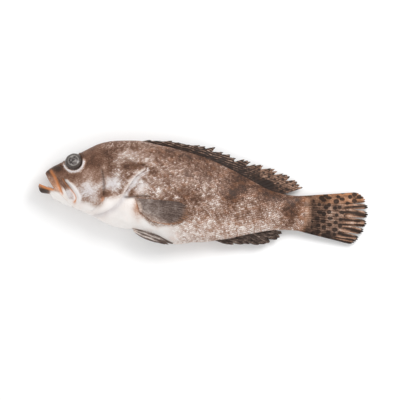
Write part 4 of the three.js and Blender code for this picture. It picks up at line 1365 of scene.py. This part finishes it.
class GROUPER_OT_tongue(Operator):
    """Adds the tongue"""
    bl_idname = "grouper.tongue"
    bl_label = "Tongue"

    def execute(self, context):
        look = context.scene.grouper_skin
        place("Tongue_flesh", tongue_pieces(), tongue_material(look), "tongue", "tongue")
        return {"FINISHED"}


class GROUPER_OT_eyes(Operator):
    """Adds both eyes"""
    bl_idname = "grouper.eyes"
    bl_label = "Eyes"

    def execute(self, context):
        material = eye_material(context.scene.grouper_eyes)
        for name, side in SIDES.items():
            place(f"{name.title()}_eye_ball", eye_pieces(side), material, "eye", f"{name}_eye")
        return {"FINISHED"}


class GROUPER_OT_plates(Operator):
    """Adds the gill covers and the plates of the upper jaw"""
    bl_idname = "grouper.plates"
    bl_label = "Gill covers and jaw plates"

    def execute(self, context):
        material = skin_material("Plate skin", context.scene.grouper_skin)
        for name, side in SIDES.items():
            cover = plate_pieces(COVER_FRONT, COVER_REAR, side, 0.95, cover_paint, 90, 150)
            place(f"{name.title()}_gill_cover_skin", cover, material, "skin", f"{name}_gill_cover")
            plate = plate_pieces(MAXILLA_FRONT, MAXILLA_REAR, side, 1.5, maxilla_paint, 44, 90, 0.12)
            place(f"{name.title()}_maxilla_skin", plate, material, "jaw_skin", f"{name}_maxilla")
        return {"FINISHED"}


def place_fin(name, node, material, values_of, *fins):
    """Makes the object of one fin from its parts."""
    pieces = Pieces()
    for fin in fins:
        fin.add_to(pieces, values_of)
    place(name, pieces, material, "fin", node)


class GROUPER_OT_back_fin(Operator):
    """Adds the back fin, with its spines in front and its soft rays behind"""
    bl_idname = "grouper.back_fin"
    bl_label = "Back fin"

    def execute(self, context):
        look, join = context.scene.grouper_fins, 0.571
        web = look.web / MM
        whole = (fan_of(DORSAL_RAYS, DORSAL_RAY, on_edge(back, -FIN_SINK)),
                 plane_sheet(FIN_DROOP, wave=0.9, waves=3.0))
        spiny_tears = tears_of(look.spines, (0.60, 0.80), (0.45, 0.6), (), 41)
        soft_tears = tears_of(look.soft_rays, (0.80, 0.94), (0.62, 0.75), (3, 6, 9, 12), 42)
        spiny_tears[-1] = soft_tears[0] = 0.62
        spiny = Fin(*whole, look.spines, spiny_tears, 60, 13, (web, 0.3), (1.3, 0.5), forks=0, tip=0.2,
                    ragged=0.16, bend=2.4, seed=43, span=(0, join), reach=1.04)
        soft = Fin(*whole, look.soft_rays, soft_tears, 60, 11, (web, 0.3), (1.0, 0.4), tip=0.4, ragged=0.08,
                   bend=1.2, seed=44, span=(join, 1), squeeze=0.10, reach=1.02)
        material = fin_material("Back fin", look, "tail")
        place_fin("Dorsal_fin_rays", "dorsal_fin", material, dorsal_values, spiny, soft)
        return {"FINISHED"}


class GROUPER_OT_anal_fin(Operator):
    """Adds the anal fin"""
    bl_idname = "grouper.anal_fin"
    bl_label = "Anal fin"

    def execute(self, context):
        look, rays = context.scene.grouper_fins, 11
        fin = Fin(fan_of(ANAL_RAYS, ANAL_RAY, on_edge(belly, FIN_SINK)), plane_sheet(3.0, wave=0.7), rays,
                  tears_of(rays, (0.90, 0.98), (0.72, 0.82), (2, 4, 7, 9), 51), 56, 11, (look.web / MM, 0.3),
                  (1.1, 0.4), tip=0.5, ragged=0.06, bend=0.9, seed=52, parted=0.85, squeeze=0.08)
        place_fin("Anal_fin_rays", "anal_fin", fin_material("Anal fin", look, "anal"), anal_values, fin)
        return {"FINISHED"}


class GROUPER_OT_tail(Operator):
    """Adds the tail with its spotted, split rays"""
    bl_idname = "grouper.tail"
    bl_label = "Tail"

    def execute(self, context):
        look, rays = context.scene.grouper_fins, context.scene.grouper_fins.tail_rays
        bundles = [round(rays * share) for share in (0.247, 0.357, 0.477, 0.61, 0.743)]
        fin = Fin(fan_of(TAIL_RAYS, TAIL_RAY, on_plane), plane_sheet(FIN_DROOP, wave=0.8), rays,
                  tears_of(rays, (0.93, 0.985), (0.66, 0.74), bundles, 61), 110, 11, (look.web / MM, 0.35),
                  (1.2, 0.4), root=2.0, tip=0.85, ragged=0.025, bend=1.2, seed=62, parted=0.9, reach=1.05,
                  squeeze=0.085)
        place_fin("Tail_fin_rays", "tail_fin", fin_material("Tail", look, "tail"), tail_values, fin)
        return {"FINISHED"}


class GROUPER_OT_paired_fins(Operator):
    """Adds the pectoral and pelvic fins of both sides"""
    bl_idname = "grouper.paired_fins"
    bl_label = "Pectoral and pelvic fins"

    def execute(self, context):
        look, rays = context.scene.grouper_fins, context.scene.grouper_fins.pectoral_rays
        material = fin_material("Paired fins", look, "pectoral")
        for name, side in SIDES.items():
            # The fins of the pressed side are thinner, and its pelvic fin hangs lower.
            web, ray, root, beside, droop = ((0.6, 0.8, 0.5, 7.0, 0.0) if side == LEFT else
                                             (0.35, 0.4, 0.3, -7.0, 6.0))
            pectoral = Fin(PECTORAL_FAN, pectoral_sheet(side), rays,
                           tears_of(rays, (0.90, 0.98), (0.80, 0.9), (4, 9, 13), 71), 64, 9, (web, 0.2),
                           (ray, 0.3), root=root, tip=0.4, ragged=0.03, bend=0.7, seed=72, parted=0.88,
                           reach=1.04)
            pelvic = Fin(fan_of(PELVIC_RAYS, PELVIC_RAY, on_plane), plane_sheet(droop, beside, 0.5, 1.5), 6,
                         tears_of(6, (0.90, 0.97), (0.80, 0.86), (3,), 81), 64, 15, (look.web / MM, 0.3),
                         (1.2, 0.4), root=2.0, tip=0.6, ragged=0.05, bend=0.8, seed=82, parted=0.88, bow=1.2)
            title = name.title()
            place_fin(f"{title}_pectoral_rays", f"{name}_pectoral_fin", material, pectoral_values, pectoral)
            place_fin(f"{title}_pelvic_rays", f"{name}_pelvic_fin", material, pelvic_values, pelvic)
        return {"FINISHED"}


STEPS = (GROUPER_OT_stage, GROUPER_OT_body, GROUPER_OT_jaw, GROUPER_OT_tongue, GROUPER_OT_eyes,
         GROUPER_OT_plates, GROUPER_OT_back_fin, GROUPER_OT_anal_fin, GROUPER_OT_tail, GROUPER_OT_paired_fins)
GROUPS = {"grouper_skin": GrouperSkin, "grouper_fins": GrouperFins, "grouper_eyes": GrouperEyes,
          "grouper_stage": GrouperStage}


class GROUPER_PT_panel(Panel):
    """Lists the pieces of the grouper and their settings"""
    bl_idname = "GROUPER_PT_panel"
    bl_label = "Grouper"
    bl_space_type = "VIEW_3D"
    bl_region_type = "UI"
    bl_category = "Grouper"

    def draw(self, context):
        for step in STEPS:
            self.layout.operator(step.bl_idname)
        for name, kind in GROUPS.items():
            box = self.layout.box()
            for key in kind.__annotations__:
                box.prop(getattr(context.scene, name), key)


CLASSES = (*GROUPS.values(), *STEPS, GROUPER_PT_panel)


def register():
    for kind in CLASSES:
        bpy.utils.register_class(kind)
    for name, kind in GROUPS.items():
        setattr(bpy.types.Scene, name, PointerProperty(type=kind))


def unregister():
    for name in GROUPS:
        delattr(bpy.types.Scene, name)
    for kind in reversed(CLASSES):
        bpy.utils.unregister_class(kind)


def main():
    register()
    for step in STEPS:
        area, name = step.bl_idname.split(".")
        getattr(getattr(bpy.ops, area), name)()


if __name__ == "__main__":
    main()
